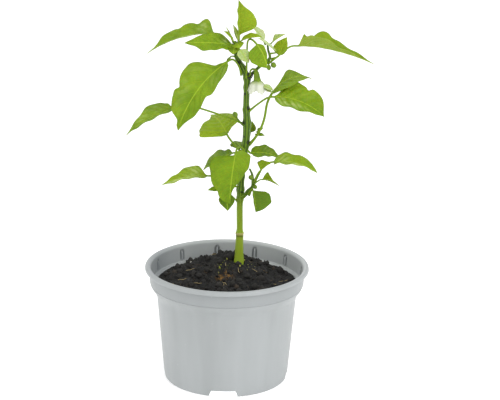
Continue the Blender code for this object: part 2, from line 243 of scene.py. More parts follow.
def skin(name, rings, mat, uv=None, numbers=None, sharp=None):
    """A closed mesh over rings[i, j] in plan units. Quads join ring i to i + 1 and place j to j + 1, the last place
    back to the first, and a fan of triangles at each end meets at the end ring's mean. uv[i, j] and the arrays in
    numbers are stored on the points"""
    n, k, _ = rings.shape
    points = np.concatenate([rings.reshape(-1, 3), rings[:1].mean(1), rings[-1:].mean(1)])
    i, j = np.arange(n - 1)[:, None] * k, np.arange(k)[None, :]
    nxt = (j + 1) % k
    quads = np.stack([i + j, i + nxt, i + k + nxt, i + k + j], -1).reshape(-1, 4)
    j = np.arange(k)
    nxt = (j + 1) % k
    last = (n - 1) * k
    fans = np.concatenate([np.stack([nxt, j, 0 * j + n * k], -1),
                           np.stack([last + j, last + nxt, 0 * j + n * k + 1], -1)])
    three = points[np.concatenate([quads[:, [0, 1, 2]], quads[:, [0, 2, 3]], fans])]
    volume = np.einsum("ij,ij->i", three[:, 0], np.cross(three[:, 1], three[:, 2])).sum() / 6
    if volume < 0:
        quads, fans = quads[:, ::-1], fans[:, ::-1]
    mesh = bpy.data.meshes.new(name)
    mesh.from_pydata(metres(points), [], quads.tolist() + fans.tolist())
    ends = lambda a: np.concatenate([a.reshape(n * k, -1), a[:1].mean(1).reshape(1, -1),
                                     a[-1:].mean(1).reshape(1, -1)])
    corners = np.zeros(len(mesh.loops), np.int32)
    mesh.loops.foreach_get("vertex_index", corners)
    if uv is not None:
        layer = mesh.uv_layers.new(name="grain")
        layer.data.foreach_set("uv", ends(uv)[corners].astype(np.float32).ravel())
    for key, values in (numbers or {}).items():
        store = mesh.attributes.new(key, "FLOAT", "POINT")
        store.data.foreach_set("value", ends(values[..., None]).astype(np.float32).ravel())
    mesh.polygons.foreach_set("use_smooth", np.ones(len(mesh.polygons), bool))
    if sharp is not None:
        mesh.set_sharp_from_angle(angle=np.radians(sharp))
    mesh.update()
    piece = bpy.data.objects.new(name, mesh)
    bpy.context.scene.collection.objects.link(piece)
    mesh.materials.append(mat)
    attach(piece, "root")
    return piece


def carry(path, radius, k, side=(0, 1, 0.1)):
    """Rings of k points round a path: each ring lies square to the path, and its starting direction is the last
    one's, flattened into the new plane, so the skin doesn't twist. radius[i] or radius[i, j] is the distance out"""
    path = np.asarray(path, float)
    step = unit(np.diff(path, axis=0))
    along = unit(np.concatenate([step[:1], step[1:] + step[:-1], step[-1:]]))
    start = unit(np.cross(along[0], side))
    starts = []
    for d in along:
        start = unit(start - np.dot(start, d) * d)
        starts.append(start)
    starts = np.array(starts)
    other = np.cross(along, starts)
    a = np.arange(k) * 2 * np.pi / k
    radius = np.broadcast_to(np.reshape(radius, (len(path), -1)), (len(path), k))
    out = np.cos(a)[None, :, None] * starts[:, None] + np.sin(a)[None, :, None] * other[:, None]
    return path[:, None] + radius[..., None] * out


def smooth_path(points, n):
    """n rows along the points: each column runs through its values on a curve with matched slopes (Catmull-Rom)"""
    p = np.asarray(points, float)
    far = np.concatenate([[0], np.cumsum(np.linalg.norm(np.diff(p[:, :3], axis=0), axis=1))])
    slope = np.gradient(p, far, axis=0)
    t = np.linspace(0, far[-1], n)
    i = np.clip(np.searchsorted(far, t, side="right") - 1, 0, len(p) - 2)
    gap = (far[i + 1] - far[i])[:, None]
    f = ((t - far[i]) / gap[:, 0])[:, None]
    return (p[i] * (1 + 2 * f) * (1 - f) ** 2 + slope[i] * gap * f * (1 - f) ** 2
            + p[i + 1] * f * f * (3 - 2 * f) + slope[i + 1] * gap * f * f * (f - 1)), t


def lattice(x, y, cell, seed):
    """Smooth noise from -1 to 1: random heights on a square lattice, joined with S-curves"""
    table = np.random.default_rng(seed).random((64, 64)) * 2 - 1
    gx, gy = x / cell + 31.7, y / cell + 17.3
    ix, iy = np.floor(gx).astype(int), np.floor(gy).astype(int)
    fx, fy = gx - ix, gy - iy
    fx, fy = fx * fx * (3 - 2 * fx), fy * fy * (3 - 2 * fy)
    at = lambda a, b: table[a % 64, b % 64]
    return ((at(ix, iy) * (1 - fx) + at(ix + 1, iy) * fx) * (1 - fy)
            + (at(ix, iy + 1) * (1 - fx) + at(ix + 1, iy + 1) * fx) * fy)


print("helpers ready")

# %% [markdown]
# ## The pot
#
# A nursery pot is one thin moulding of grey polypropylene: a rounded bead at the rim, a short straight
# collar, a soft shoulder, a tapering wall and a foot with gaps that let water out. Round the inside of the
# collar are small upright pockets that keep stacked pots from jamming. It could be a spun profile with pieces
# cut out of it; here the cuts are part of the surface instead. The profile is carried round the axis, and the
# pockets and gaps are places where the radius or the height of the profile changes with the angle, so their
# edges stay clean.

# %% Pot profile
def rounded(corners, n=7):
    """A profile with its corners rounded. Each corner is (radius, height, rounding), and the rounding is a short
    curve that leaves one side and meets the next at that distance from the corner"""
    c = np.array([p[:2] for p in corners], float)
    rows = [c[0]]
    for i in range(1, len(c) - 1):
        size = corners[i][2] if len(corners[i]) > 2 else 0
        before, after = c[i - 1] - c[i], c[i + 1] - c[i]
        reach = min(size, 0.48 * np.hypot(*before), 0.48 * np.hypot(*after))
        if reach < 0.02:
            rows.append(c[i])
            continue
        a, b = c[i] + unit(before) * reach, c[i] + unit(after) * reach
        t = np.linspace(0, 1, n)[:, None]
        rows.extend((1 - t) ** 2 * a + 2 * t * (1 - t) * c[i] + t * t * b)
    rows.append(c[-1])
    return np.array(rows)


def refine(profile, longest):
    """The same profile with straight runs split so that no step is longer than longest"""
    rows = [profile[:1]]
    for a, b in zip(profile[:-1], profile[1:]):
        n = max(1, int(np.ceil(np.hypot(*(b - a)) / longest)))
        rows.append(a + (b - a) * (np.arange(1, n + 1) / n)[:, None])
    return np.concatenate(rows)


under = rounded([(0, 0), (20, 0, 0.8), (21.5, 6, 0.8), (49.6, 6, 0.5), (50.4, 0, 0.4), (52.0, 0, 0.5),
                 (52.9, 1, 0.8),
                 (53.4, 4, 1.5), (59.6, 73.4, 1.2), (60.4, 75.8, 1.2), (62.3, 78.7, 1.4), (64.2, 81.4, 1.4),
                 (65.45, 84.15, 0.3), (65.1, 84.5, 0.15), (65.15, 84.9, 0.15), (65.75, 85.3, 0.3),
                 (66.4, 95.4, 0.7), (68.3, 95.7, 0.9), (69.85, 96.5, 0.9), (RIM, 97.8, 0.8),
                 (69.5, 99.3, 0.9), (68.2, 100, 1.0),
                 (66.2, 99.7, 1.0), (64.8, 98.3, 1.2), (64.0, 87.3, 0.6)])
inside = rounded([(64.0, 87.3), (63.9, 85.3, 0.4), (63.3, 84.75, 0.3), (61.4, 84.5, 0.5), (60.3, 83.2, 0.8),
                  (59.3, 80.5, 1), (58.2, 74.0, 1), (52.2, 8.6, 1.2), (51.2, 7.4, 1), (20.2, 7.4, 0.8),
                  (18.8, 1.6, 0.8), (0, 1.6)])
pot_profile = refine(np.concatenate([under, inside[1:]]), 1.6)
print("profile points:", len(pot_profile))

# %% Pot surface
POCKETS = np.radians(8 + 30 * np.arange(12))
GAPS = np.radians(268 + 90 * np.arange(4))


def turn_from(angle, centres):
    """Signed angle from the nearest of the centres"""
    gap = (angle[:, None] - centres[None, :] + np.pi) % (2 * np.pi) - np.pi
    return gap[np.arange(len(angle)), np.abs(gap).argmin(1)]


fine = np.radians([-2.9, -2.55, -2.3, -2.1, -1.8, -1.2, -0.8, -0.5, -0.2,
                   0.2, 0.5, 0.8, 1.2, 1.8, 2.1, 2.3, 2.55, 2.9])
steep = np.radians([-14.2, -13.8, -13.4, -12.5, -11.6, -11.0, -10.6, 10.6, 11.0, 11.6, 12.5, 13.4, 13.8, 14.2])
angles = np.concatenate([np.radians(np.arange(0, 360, 1.5)), (POCKETS[:, None] + fine).ravel(),
                         (GAPS[:, None] + steep).ravel()]) % (2 * np.pi)
angles = np.unique(np.round(angles, 5))
angles = angles[np.concatenate([[True], np.diff(angles) > 0.0015])]

r, z = pot_profile[1:-1, 0][:, None], pot_profile[1:-1, 1][:, None]
row = np.arange(1, len(pot_profile) - 1)[:, None]
first_inside = pot_profile[:, 1].argmax() + 1
collar = (z > 85.2) & (z < 96.2) & (r < 65.0) & (r > 63.0)
side = np.abs(turn_from(angles, POCKETS))[None, :] * 63.8
reach_up = np.sqrt(np.clip(1 - (np.clip(z - 92.6, 0, None) / 2.4) ** 2, 0, 1))
pocket = collar * np.clip((2.5 * reach_up - side) / 0.35, 0, 1) * np.clip((z - 85.9) / 0.4, 0, 1)
rib = pocket * np.clip((0.75 - side) / 0.3, 0, 1) * np.clip((94.6 - z) / 0.6, 0, 1)
away = np.abs(turn_from(angles, GAPS))[None, :] * 52
gap_height = 5.5 * np.clip((12.5 - away) / 2.5, 0, 1)
foot = (r > 49.2) & (r < 53.6) & (z < 6.1)
z_all = np.where(foot, np.maximum(z, gap_height), z + 0 * away)
r_all = r + 1.1 * pocket - 1.9 * rib
rings = np.stack([r_all * np.cos(angles), r_all * np.sin(angles), z_all], -1)
print("pot rings:", rings.shape, "pocket points:", int((pocket > 0.5).sum()))

# %% [markdown]
# Grey polypropylene looks plain, but it has a faint upright streak from the mould, a cool cast that shifts a
# little from side to side, pale scuffs and a soft satin gloss. The pocket floors, and the left part of the
# inside wall, are darkened with painted shade.

# %% Pot finish
def pot_colour(f):
    streak = noise(f, 0.012, 3, 0.6, (1, 1, 14))
    cloud = noise(f, 0.05, 2)
    speck = rise(noise(f, 0.0011, 2, 0.6), 0.70, 0.80)
    share = rise(0.55 * streak + 0.45 * cloud, 0.3, 0.7)
    outside = tint((0.300, 0.318, 0.320), (0.358, 0.378, 0.384), share)
    height = f.node("ShaderNodeSeparateXYZ", {}, {0: f.node("ShaderNodeTexCoord", out="Object")}, out="Z")
    up = lambda z: float(metres((0, 0, z))[2])
    collar = 0.6 * rise(height, up(82), up(86)) * rise(height, up(96.5), up(95))
    outside = tint(outside, (0.268, 0.286, 0.291), collar)
    inner = f.node("ShaderNodeAttribute", {"attribute_name": "inner"}, out="Fac")
    across = f.node("ShaderNodeSeparateXYZ", {}, {0: f.node("ShaderNodeTexCoord", out="Object")}, out="X")
    # Painted shade: the inside wall is darker towards its left, where less light falls into the pot
    facing = tint((0.275, 0.295, 0.308), (0.425, 0.445, 0.452), rise(across, float(metres((-58, 0, 0))[0]),
                                                                   float(metres((-34, 0, 0))[0])))
    base = tint(outside, tint(facing, (0.42, 0.44, 0.45), 0.35 * share), inner)
    # Painted shade: the pocket floors are darkened, as if in shadow
    pocket_shade = f.node("ShaderNodeAttribute", {"attribute_name": "pocket"}, out="Fac")
    base = tint(base, (0.13, 0.145, 0.15), 0.6 * pocket_shade)
    return tint(base, (0.56, 0.58, 0.59), 0.30 * speck)


pot_finish = finish("pot_plastic_grey", pot_colour, lambda f: 0.36 + 0.16 * noise(f, 0.004, 3),
                    lambda f: noise(f, 0.0006, 3, 0.6) + 0.5 * noise(f, 0.006, 2, 0.5, (1, 1, 8)), 0.00005, 0.6)
stored = {"pocket": pocket * (1 - rib) + 0 * away, "inner": 1.0 * (row >= first_inside) + 0 * away}
pot = skin("nursery_pot", rings, pot_finish, numbers=stored, sharp=38)
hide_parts("pot")
print("pot faces:", len(pot.data.polygons))

# %% Drain holes
drill_angles = np.radians(22.5 + 45 * np.arange(8))
mesh = bpy.data.meshes.new("drill")
round_turn = np.arange(28) * 2 * np.pi / 28
points, faces = [], []
for a in drill_angles:
    ring = np.stack([34 * np.cos(a) + 3.2 * np.cos(round_turn), 34 * np.sin(a) + 3.2 * np.sin(round_turn)], -1)
    start = len(points)
    points += [(x, y, 3.0) for x, y in ring] + [(x, y, 12.0) for x, y in ring]
    faces += [tuple(start + i for i in range(28))[::-1], tuple(start + 28 + i for i in range(28))]
    faces += [(start + i, start + (i + 1) % 28, start + 28 + (i + 1) % 28, start + 28 + i) for i in range(28)]
mesh.from_pydata(metres(points), [], faces)
drill = bpy.data.objects.new("drill", mesh)
bpy.context.scene.collection.objects.link(drill)
holes = pot.modifiers.new("drain_holes", "BOOLEAN")
holes.operation, holes.solver, holes.object = "DIFFERENCE", "EXACT", drill
pot.data = bpy.data.meshes.new_from_object(pot.evaluated_get(bpy.context.evaluated_depsgraph_get()))
pot.modifiers.clear()
bpy.data.objects.remove(drill)
print("pot faces with its drain holes:", len(pot.data.polygons))

# %% [markdown]
# ## The peat
#
# Potting peat is nearly black when damp. Its surface is a mass of crumbs and clods with straw and moss in it,
# and it rises in a low mound where the seedling was planted. The fill is one closed skin: a plain side and
# base that nobody sees, and a top whose height is a mound plus lattice noise at four sizes. Loose crumbs and
# fibres lie on it as two more pieces, each made of many small copies.

# %% Peat surface
def peat_height(x, y):
    """Height of the peat: a mound at the stem, broad lumps, and finer noise folded to make clods. All of it fades
    out towards the wall"""
    reach = np.clip((59.0 - np.hypot(x, y)) / 9, 0, 1)
    mound = 10.0 * np.exp(-((x - 9) ** 2 + (y - 30) ** 2) / (2 * 15.0 ** 2))
    broad = 0.8 * np.sin(0.21 * x + 1.3) * np.cos(0.17 * y - 0.6) + 0.5 * np.sin(0.33 * (x + y))
    clods = sum(size * (1 - 2 * np.abs(lattice(x, y, cell, seed)))
                for size, cell, seed in ((2.3, 9.0, 1), (1.7, 4.8, 2), (0.8, 2.3, 3), (0.35, 1.1, 4)))
    heap = (5.5 * np.exp(-((x + 14) ** 2 / 420 + (y - 40) ** 2 / 90))
            + 2.0 * np.exp(-((x + 34) ** 2 + (y - 20) ** 2) / 160))
    return 83.9 + reach * (mound + 0.8 + broad + heap) + (0.35 + 0.65 * reach) * clods * 0.8


k = 330
turn = np.arange(k) * 2 * np.pi / k
hidden = [(3, 7.8), (30, 7.8), (50.6, 7.8), (51.3, 8.4), (54.6, 40), (57.8, 74), (58.9, 80.5), (59.4, 82.2)]
top = np.concatenate([np.linspace(59.5, 3, 106), [1.5, 0.4]])
base_rings = np.array([[[r * np.cos(a), r * np.sin(a), z] for a in turn] for r, z in hidden])
x, y = top[:, None] * np.cos(turn), top[:, None] * np.sin(turn)
rings = np.concatenate([base_rings, np.stack([x, y, peat_height(x, y)], -1)])


def peat_colour(f):
    grit = noise(f, 0.0012, 4, 0.7)
    patch = noise(f, 0.009, 3, 0.6)
    base = tint((0.003, 0.003, 0.003), (0.026, 0.0245, 0.0215), rise(0.6 * grit + 0.4 * patch, 0.44, 0.76))
    place = f.node("ShaderNodeTexCoord", out="Object")
    near = lambda x, y, size: rise(f.node("ShaderNodeVectorMath", {"operation": "DISTANCE"}, {
        0: f.node("ShaderNodeVectorMath", {"operation": "MULTIPLY"}, {0: place, 1: (1, 1, 0)}),
        1: tuple(metres((x, y, 0))[:2]) + (0,)}, out="Value"), size * MM, 0)
    rust = near(-1.5, 4, 11) * rise(noise(f, 0.0018, 3, 0.7), 0.42, 0.62)
    moss = near(-3, 23, 12) * rise(noise(f, 0.0013, 3, 0.7), 0.55, 0.64)
    dusty = near(27, 22, 16) * rise(grit, 0.45, 0.7)
    base = tint(base, (0.07, 0.068, 0.065), 0.6 * dusty)
    base = tint(base, (0.34, 0.165, 0.018), 0.80 * rust)
    return tint(base, (0.20, 0.23, 0.015), 0.85 * moss)


peat_finish = finish("peat_damp", peat_colour, lambda f: 0.72 + 0.25 * noise(f, 0.002, 2),
                     lambda f: noise(f, 0.0009, 5, 0.75), 0.0009, 1.0)
peat = skin("peat_fill", rings, peat_finish)
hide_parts("potting_soil")
print("peat faces:", len(peat.data.polygons))

# %% Crumbs and fibres on the peat
def scatter(count, seed, spread=56.5):
    """Random places on the peat, even by area, within spread of the axis"""
    rng = np.random.default_rng(seed)
    radius, angle = spread * np.sqrt(rng.random(count)), rng.random(count) * 2 * np.pi
    return rng, radius * np.cos(angle), radius * np.sin(angle)


def many(name, blocks, tints, mat):
    """One mesh from blocks[c, i, j]: copy c is a closed skin over its rings i, and its points store tints[c]"""
    c, n, k, _ = blocks.shape
    points = np.concatenate([blocks.reshape(c, n * k, 3), blocks[:, :1].mean(2), blocks[:, -1:].mean(2)], 1)
    i, j = np.arange(n - 1)[:, None] * k, np.arange(k)[None, :]
    nxt = (j + 1) % k
    quads = np.stack([i + j, i + nxt, i + k + nxt, i + k + j], -1).reshape(-1, 4)
    j = np.arange(k)
    nxt = (j + 1) % k
    last = (n - 1) * k
    fans = np.concatenate([np.stack([nxt, j, 0 * j + n * k], -1),
                           np.stack([last + j, last + nxt, 0 * j + n * k + 1], -1)])
    three = points[0][np.concatenate([quads[:, :3], quads[:, [0, 2, 3]], fans])]
    facing = np.cross(three[:, 1] - three[:, 0], three[:, 2] - three[:, 0])
    if np.einsum("ij,ij->i", three[:, 0] - points[0].mean(0), facing).sum() < 0:
        quads, fans = quads[:, ::-1], fans[:, ::-1]
    size = n * k + 2
    shift = (np.arange(c) * size)[:, None, None]
    mesh = bpy.data.meshes.new(name)
    mesh.from_pydata(metres(points.reshape(-1, 3)), [],
                     (quads[None] + shift).reshape(-1, 4).tolist() + (fans[None] + shift).reshape(-1, 3).tolist())
    store = mesh.attributes.new("tone", "FLOAT", "POINT")
    store.data.foreach_set("value", np.repeat(tints, size).astype(np.float32))
    mesh.polygons.foreach_set("use_smooth", np.ones(len(mesh.polygons), bool))
    mesh.materials.append(mat)
    piece = bpy.data.objects.new(name, mesh)
    bpy.context.scene.collection.objects.link(piece)
    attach(piece, "root")
    print(name, "copies:", c, "faces:", len(mesh.polygons))
    return piece


def litter_colour(f):
    tone = f.node("ShaderNodeAttribute", {"attribute_name": "tone"}, out="Fac")
    ramp = f.node("ShaderNodeValToRGB", {"stops": [(0, (0.008, 0.007, 0.006)), (0.45, (0.016, 0.014, 0.011)),
                                                  (0.62, (0.12, 0.07, 0.03)), (0.74, (0.42, 0.33, 0.16)),
                                                  (0.86, (0.30, 0.33, 0.03)), (1.0, (0.60, 0.58, 0.52))]}, {0: tone})
    return tint(ramp, (0.0, 0.0, 0.0), 0.35 * noise(f, 0.0007, 2))


litter_finish = finish("peat_litter", litter_colour, lambda f: 0.7 + 0.25 * noise(f, 0.001, 2),
                       lambda f: noise(f, 0.0004, 3, 0.6), 0.0002, 0.8)

count = 900
rng, x, y = scatter(count, 11)
sizes = 0.4 + 2.9 * rng.random(count) ** 4
lat, k = np.linspace(0.35, np.pi - 0.35, 4), 7
a = np.arange(k) * 2 * np.pi / k
ball = np.stack([np.sin(lat)[:, None] * np.cos(a), np.sin(lat)[:, None] * np.sin(a),
                 np.cos(lat)[:, None] + 0 * a], -1)
mossy = np.minimum(np.hypot(x + 3, y - 20), np.hypot(x - 17, y - 19)) < 9
pale = (rng.random(count) < 0.008) | (mossy & (rng.random(count) < 0.55))
sizes = np.where(pale, np.minimum(sizes, 0.8), sizes)
blocks = ball[None] * (1 + 0.35 * (rng.random((count, 4, k, 1)) - 0.5)) * sizes[:, None, None, None]
blocks *= 0.7 + 0.6 * rng.random((count, 1, 1, 3))
blocks += np.stack([x, y, peat_height(x, y) + 0.25 * sizes], -1)[:, None, None]
tones = rng.random(count) * 0.5
tones[pale] = np.where(mossy, 0.80 + 0.08 * rng.random(count), 1.0)[pale]
crumbs = many("peat_crumbs", blocks, tones, litter_finish)

count = 170
rng, x, y = scatter(count, 23, 54)
length, thick = 1.5 + 11 * rng.random(count) ** 3, 0.06 + 0.12 * rng.random(count)
heading, bend = rng.random(count) * 2 * np.pi, (rng.random(count) - 0.5) * 2.2
t = np.linspace(-0.5, 0.5, 7)
turned = heading[:, None] + bend[:, None] * t
fx = x[:, None] + np.cumsum(np.cos(turned), 1) * length[:, None] / 7
fy = y[:, None] + np.cumsum(np.sin(turned), 1) * length[:, None] / 7
keep = np.hypot(fx, fy).max(1) < 57
fx, fy, length, thick, turned = fx[keep], fy[keep], length[keep], thick[keep], turned[keep]
straw = length > 8.5
thick = np.where(straw, 0.26, thick)
fz = peat_height(fx, fy) * 0.35 + peat_height(fx, fy).max(1, keepdims=True) * 0.65 + 0.15
fz += rng.random((len(fx), 1)) * 1.6 * (t[None] + 0.5) ** 2
a = np.arange(5) * 2 * np.pi / 5
width = thick[:, None] * np.array([0.5, 1, 1.1, 1, 1, 0.8, 0.3])
normal = np.stack([-np.sin(turned), np.cos(turned), 0 * turned], -1)
blocks = (np.stack([fx, fy, fz], -1)[:, :, None] + width[..., None, None] * (
    np.cos(a)[None, None, :, None] * normal[:, :, None] + np.sin(a)[None, None, :, None] * np.array([0, 0, 1.0])))
tones = np.where(straw, 0.72, 0.42 + 0.28 * rng.random(len(fx)))
fibres = many("peat_fibres", blocks, tones, litter_finish)

# %% [markdown]
# ## Stems
#
# A chilli stem is a soft ribbed rod that thickens where leaves join it, and a raised ring is left low down
# where the seed leaves fell. Each stem is a circle carried along a smooth path. Ribs are a small wave of the
# radius round the stem, and the swellings are extra width at the joints. It could be a bevelled curve, but a
# curve's thickness can't vary round its section.
#
# The points of each stem, and the dark spots on it, started as places that a separate program worked out one
# by one, and were then rounded.

# %% Stem plan
STEMS = {
    "main_stem": [(10.4, 24, 70, 2.6), (10.4, 24, 84, 4.3), (10.4, 24, 94, 4.3), (10.4, 24, 101, 3.75),
                  (10.4, 24, 108, 3.45), (10.6, 24, 116, 3.25), (10.6, 24, 121, 3.3), (10.6, 24, 123.5, 2.7),
                  (10.4, 23.5, 150, 2.7), (10.8, 23, 160, 3.1),
                  (11.6, 22.5, 175, 2.7), (13, 22, 190, 2.9), (14.6, 22, 202, 3.1), (15.2, 22, 219, 3.3),
                  (14.4, 22, 234, 2.6), (14.6, 22, 250, 2.6), (14.6, 22, 258, 2.9), (11, 22, 267, 2.3),
                  (7, 22, 274, 1.9), (4.6, 22, 281, 1.6), (4.6, 22, 290, 1.5)],
    "right_branch": [(18.3, 20.8, 261.8, 1.4), (21, 20, 264.4, 1.3), (25, 20, 268.5, 1.3), (30, 20, 272, 1.3),
                     (33.5, 20, 276, 1.2), (32, 22, 283, 0.9), (31.4, 23, 289, 0.8)],
    "low_shoot": [(15.2, 19.4, 157, 1.7), (17.5, 17, 161, 1.4), (20.5, 15, 165, 1.2), (21, 14, 171, 1.1),
                  (20.6, 15, 175, 1.0), (18, 16, 181, 0.8)],
    "bud_shoot": [(12.0, 18.6, 218.4, 0.9), (10, 17.4, 220.5, 0.8), (6.8, 17, 224.5, 0.8)],
}
JOINTS = {"main_stem": [151, 160, 172, 190, 200, 219, 231, 250, 258, 267, 276, 284], "right_branch": [273],
          "low_shoot": [160, 170], "bud_shoot": []}
ROOTS = {"main_stem": [], "right_branch": [(13.6, 22, 258.0, 1.9)], "low_shoot": [(12.0, 22, 153.5, 2.2)],
         "bud_shoot": [(14.4, 21.5, 217.0, 1.1)]}

# %% Stem finish
def marks(f):
    """Masks up the stem: the raised ring, the shade under it, the old base and the paler lower stem"""
    place = f.node("ShaderNodeSeparateXYZ", {}, {0: f.node("ShaderNodeTexCoord", out="Object")}, out="Z")
    at = lambda z: float(metres((0, 0, z))[2])
    ring = rise(place, at(118.9), at(119.7)) * rise(place, at(121.6), at(120.9))
    shade = rise(place, at(116.9), at(118.2)) * rise(place, at(119.4), at(118.7))
    return ring, shade, rise(place, at(121), at(117)), rise(place, at(162), at(140))


# Dark spots on the stem: x, y, z and size
PATCHES = [(16.4, 19.6, 261.0, 3.2), (11.5, 19.3, 220.5, 3.2), (16.6, 19.2, 233.0, 2.6), (17.0, 19.4, 203.0, 2.8),
           (13.0, 19.6, 245.0, 1.6), (12.5, 20.0, 208.0, 1.6), (8.0, 20.5, 272.0, 2.4), (11.6, 20.6, 159.0, 1.8)]


def stem_colour(f):
    ring, shade, old, low = marks(f)
    grain = f.node("ShaderNodeSeparateXYZ", {}, {0: f.node("ShaderNodeUVMap", {"uv_map": "grain"})}, out="X")
    stripe = 0.5 + 0.5 * f.math("COSINE", grain * (2 * np.pi * 4) + 1.2 * noise(f, 0.006, 2, 0.5, (1, 1, 6)))
    base = tint((0.042, 0.095, 0.005), (0.125, 0.220, 0.010), rise(stripe, 0.15, 0.85))
    base = tint(base, (0.275, 0.400, 0.014), 0.75 * low)
    base = tint(base, (0.245, 0.335, 0.022), 0.85 * old)
    base = tint(base, (0.40, 0.33, 0.13), 0.75 * ring)
    base = tint(base, (0.07, 0.06, 0.02), 0.6 * shade)
    spot = f.node("ShaderNodeTexCoord", out="Object")
    for x, y, z, size in PATCHES:
        centre = tuple(metres((x, y, z)))
        away = f.node("ShaderNodeVectorMath", {"operation": "DISTANCE"}, {0: spot, 1: centre}, out="Value")
        away = away + 0.0012 * (noise(f, 0.0015, 3) - 0.5)
        base = tint(base, (0.012, 0.016, 0.006), 0.9 * rise(away, size * MM, 0.45 * size * MM))
    fleck = rise(noise(f, 0.0016, 3, 0.6, (1, 1, 2)), 0.62, 0.72)
    return tint(base, (0.05, 0.09, 0.02), 0.55 * fleck * (1 - old))


stem_finish = finish("stem_green_ribbed", stem_colour, lambda f: 0.36 + 0.2 * noise(f, 0.002, 2),
                     lambda f: noise(f, 0.0008, 3, 0.6, (1, 1, 4)), 0.00015, 0.7, Specular_IOR_Level=0.25,
                     Subsurface_Weight=0.10, Subsurface_Scale=0.002)

# %% Stem shapes
for name, rows in STEMS.items():
    path, far = smooth_path(ROOTS[name] + rows, int(40 + 1.2 * sum(
        np.linalg.norm(np.diff(np.array(rows)[:, :3], axis=0), axis=1))))
    k = 32
    a = np.arange(k) * 2 * np.pi / k
    given = np.array(ROOTS[name] + rows)
    places = np.concatenate([[0], np.cumsum(np.linalg.norm(np.diff(given[:, :3], axis=0), axis=1))])
    radius = np.interp(np.clip(far[:, None] + np.linspace(-1.5, 1.5, 7), 0, far[-1]), places, given[:, 3]).mean(1)
    for z in JOINTS[name]:
        radius += 0.22 * path[:, 3] * np.exp(-((path[:, 2] - z) / 2.4) ** 2) * (0.6 if name != "main_stem" else 1)
    if name == "main_stem":
        radius += 0.35 * np.exp(-((path[:, 2] - 120.2) / 1.0) ** 4)
    ribs = 1 + 0.055 * np.cos(5 * a[None, :] + 0.012 * far[:, None] + 0.8 * np.sin(far / 21)[:, None])
    wander = 1 + 0.03 * lattice(far[:, None] + 0 * a, 6 * np.cos(a)[None, :] + 0 * far[:, None], 7, 5)
    ends = np.clip((far[-1] - far) / path[-1, 3], 0, 1)
    radius = radius * np.sqrt(1 - (1 - ends) ** 2 + 1e-3)
    rings = carry(path[:, :3], radius[:, None] * ribs * wander, k)
    uv = np.stack([np.broadcast_to(np.abs(2 * a / (2 * np.pi) - 1), (len(path), k)),
                   np.broadcast_to(far[:, None] / 100, (len(path), k))], -1)
    piece = skin(name + "_fine", rings, stem_finish, uv=uv)
    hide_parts(name)
    print(name, "length:", round(far[-1], 1), "faces:", len(piece.data.polygons))
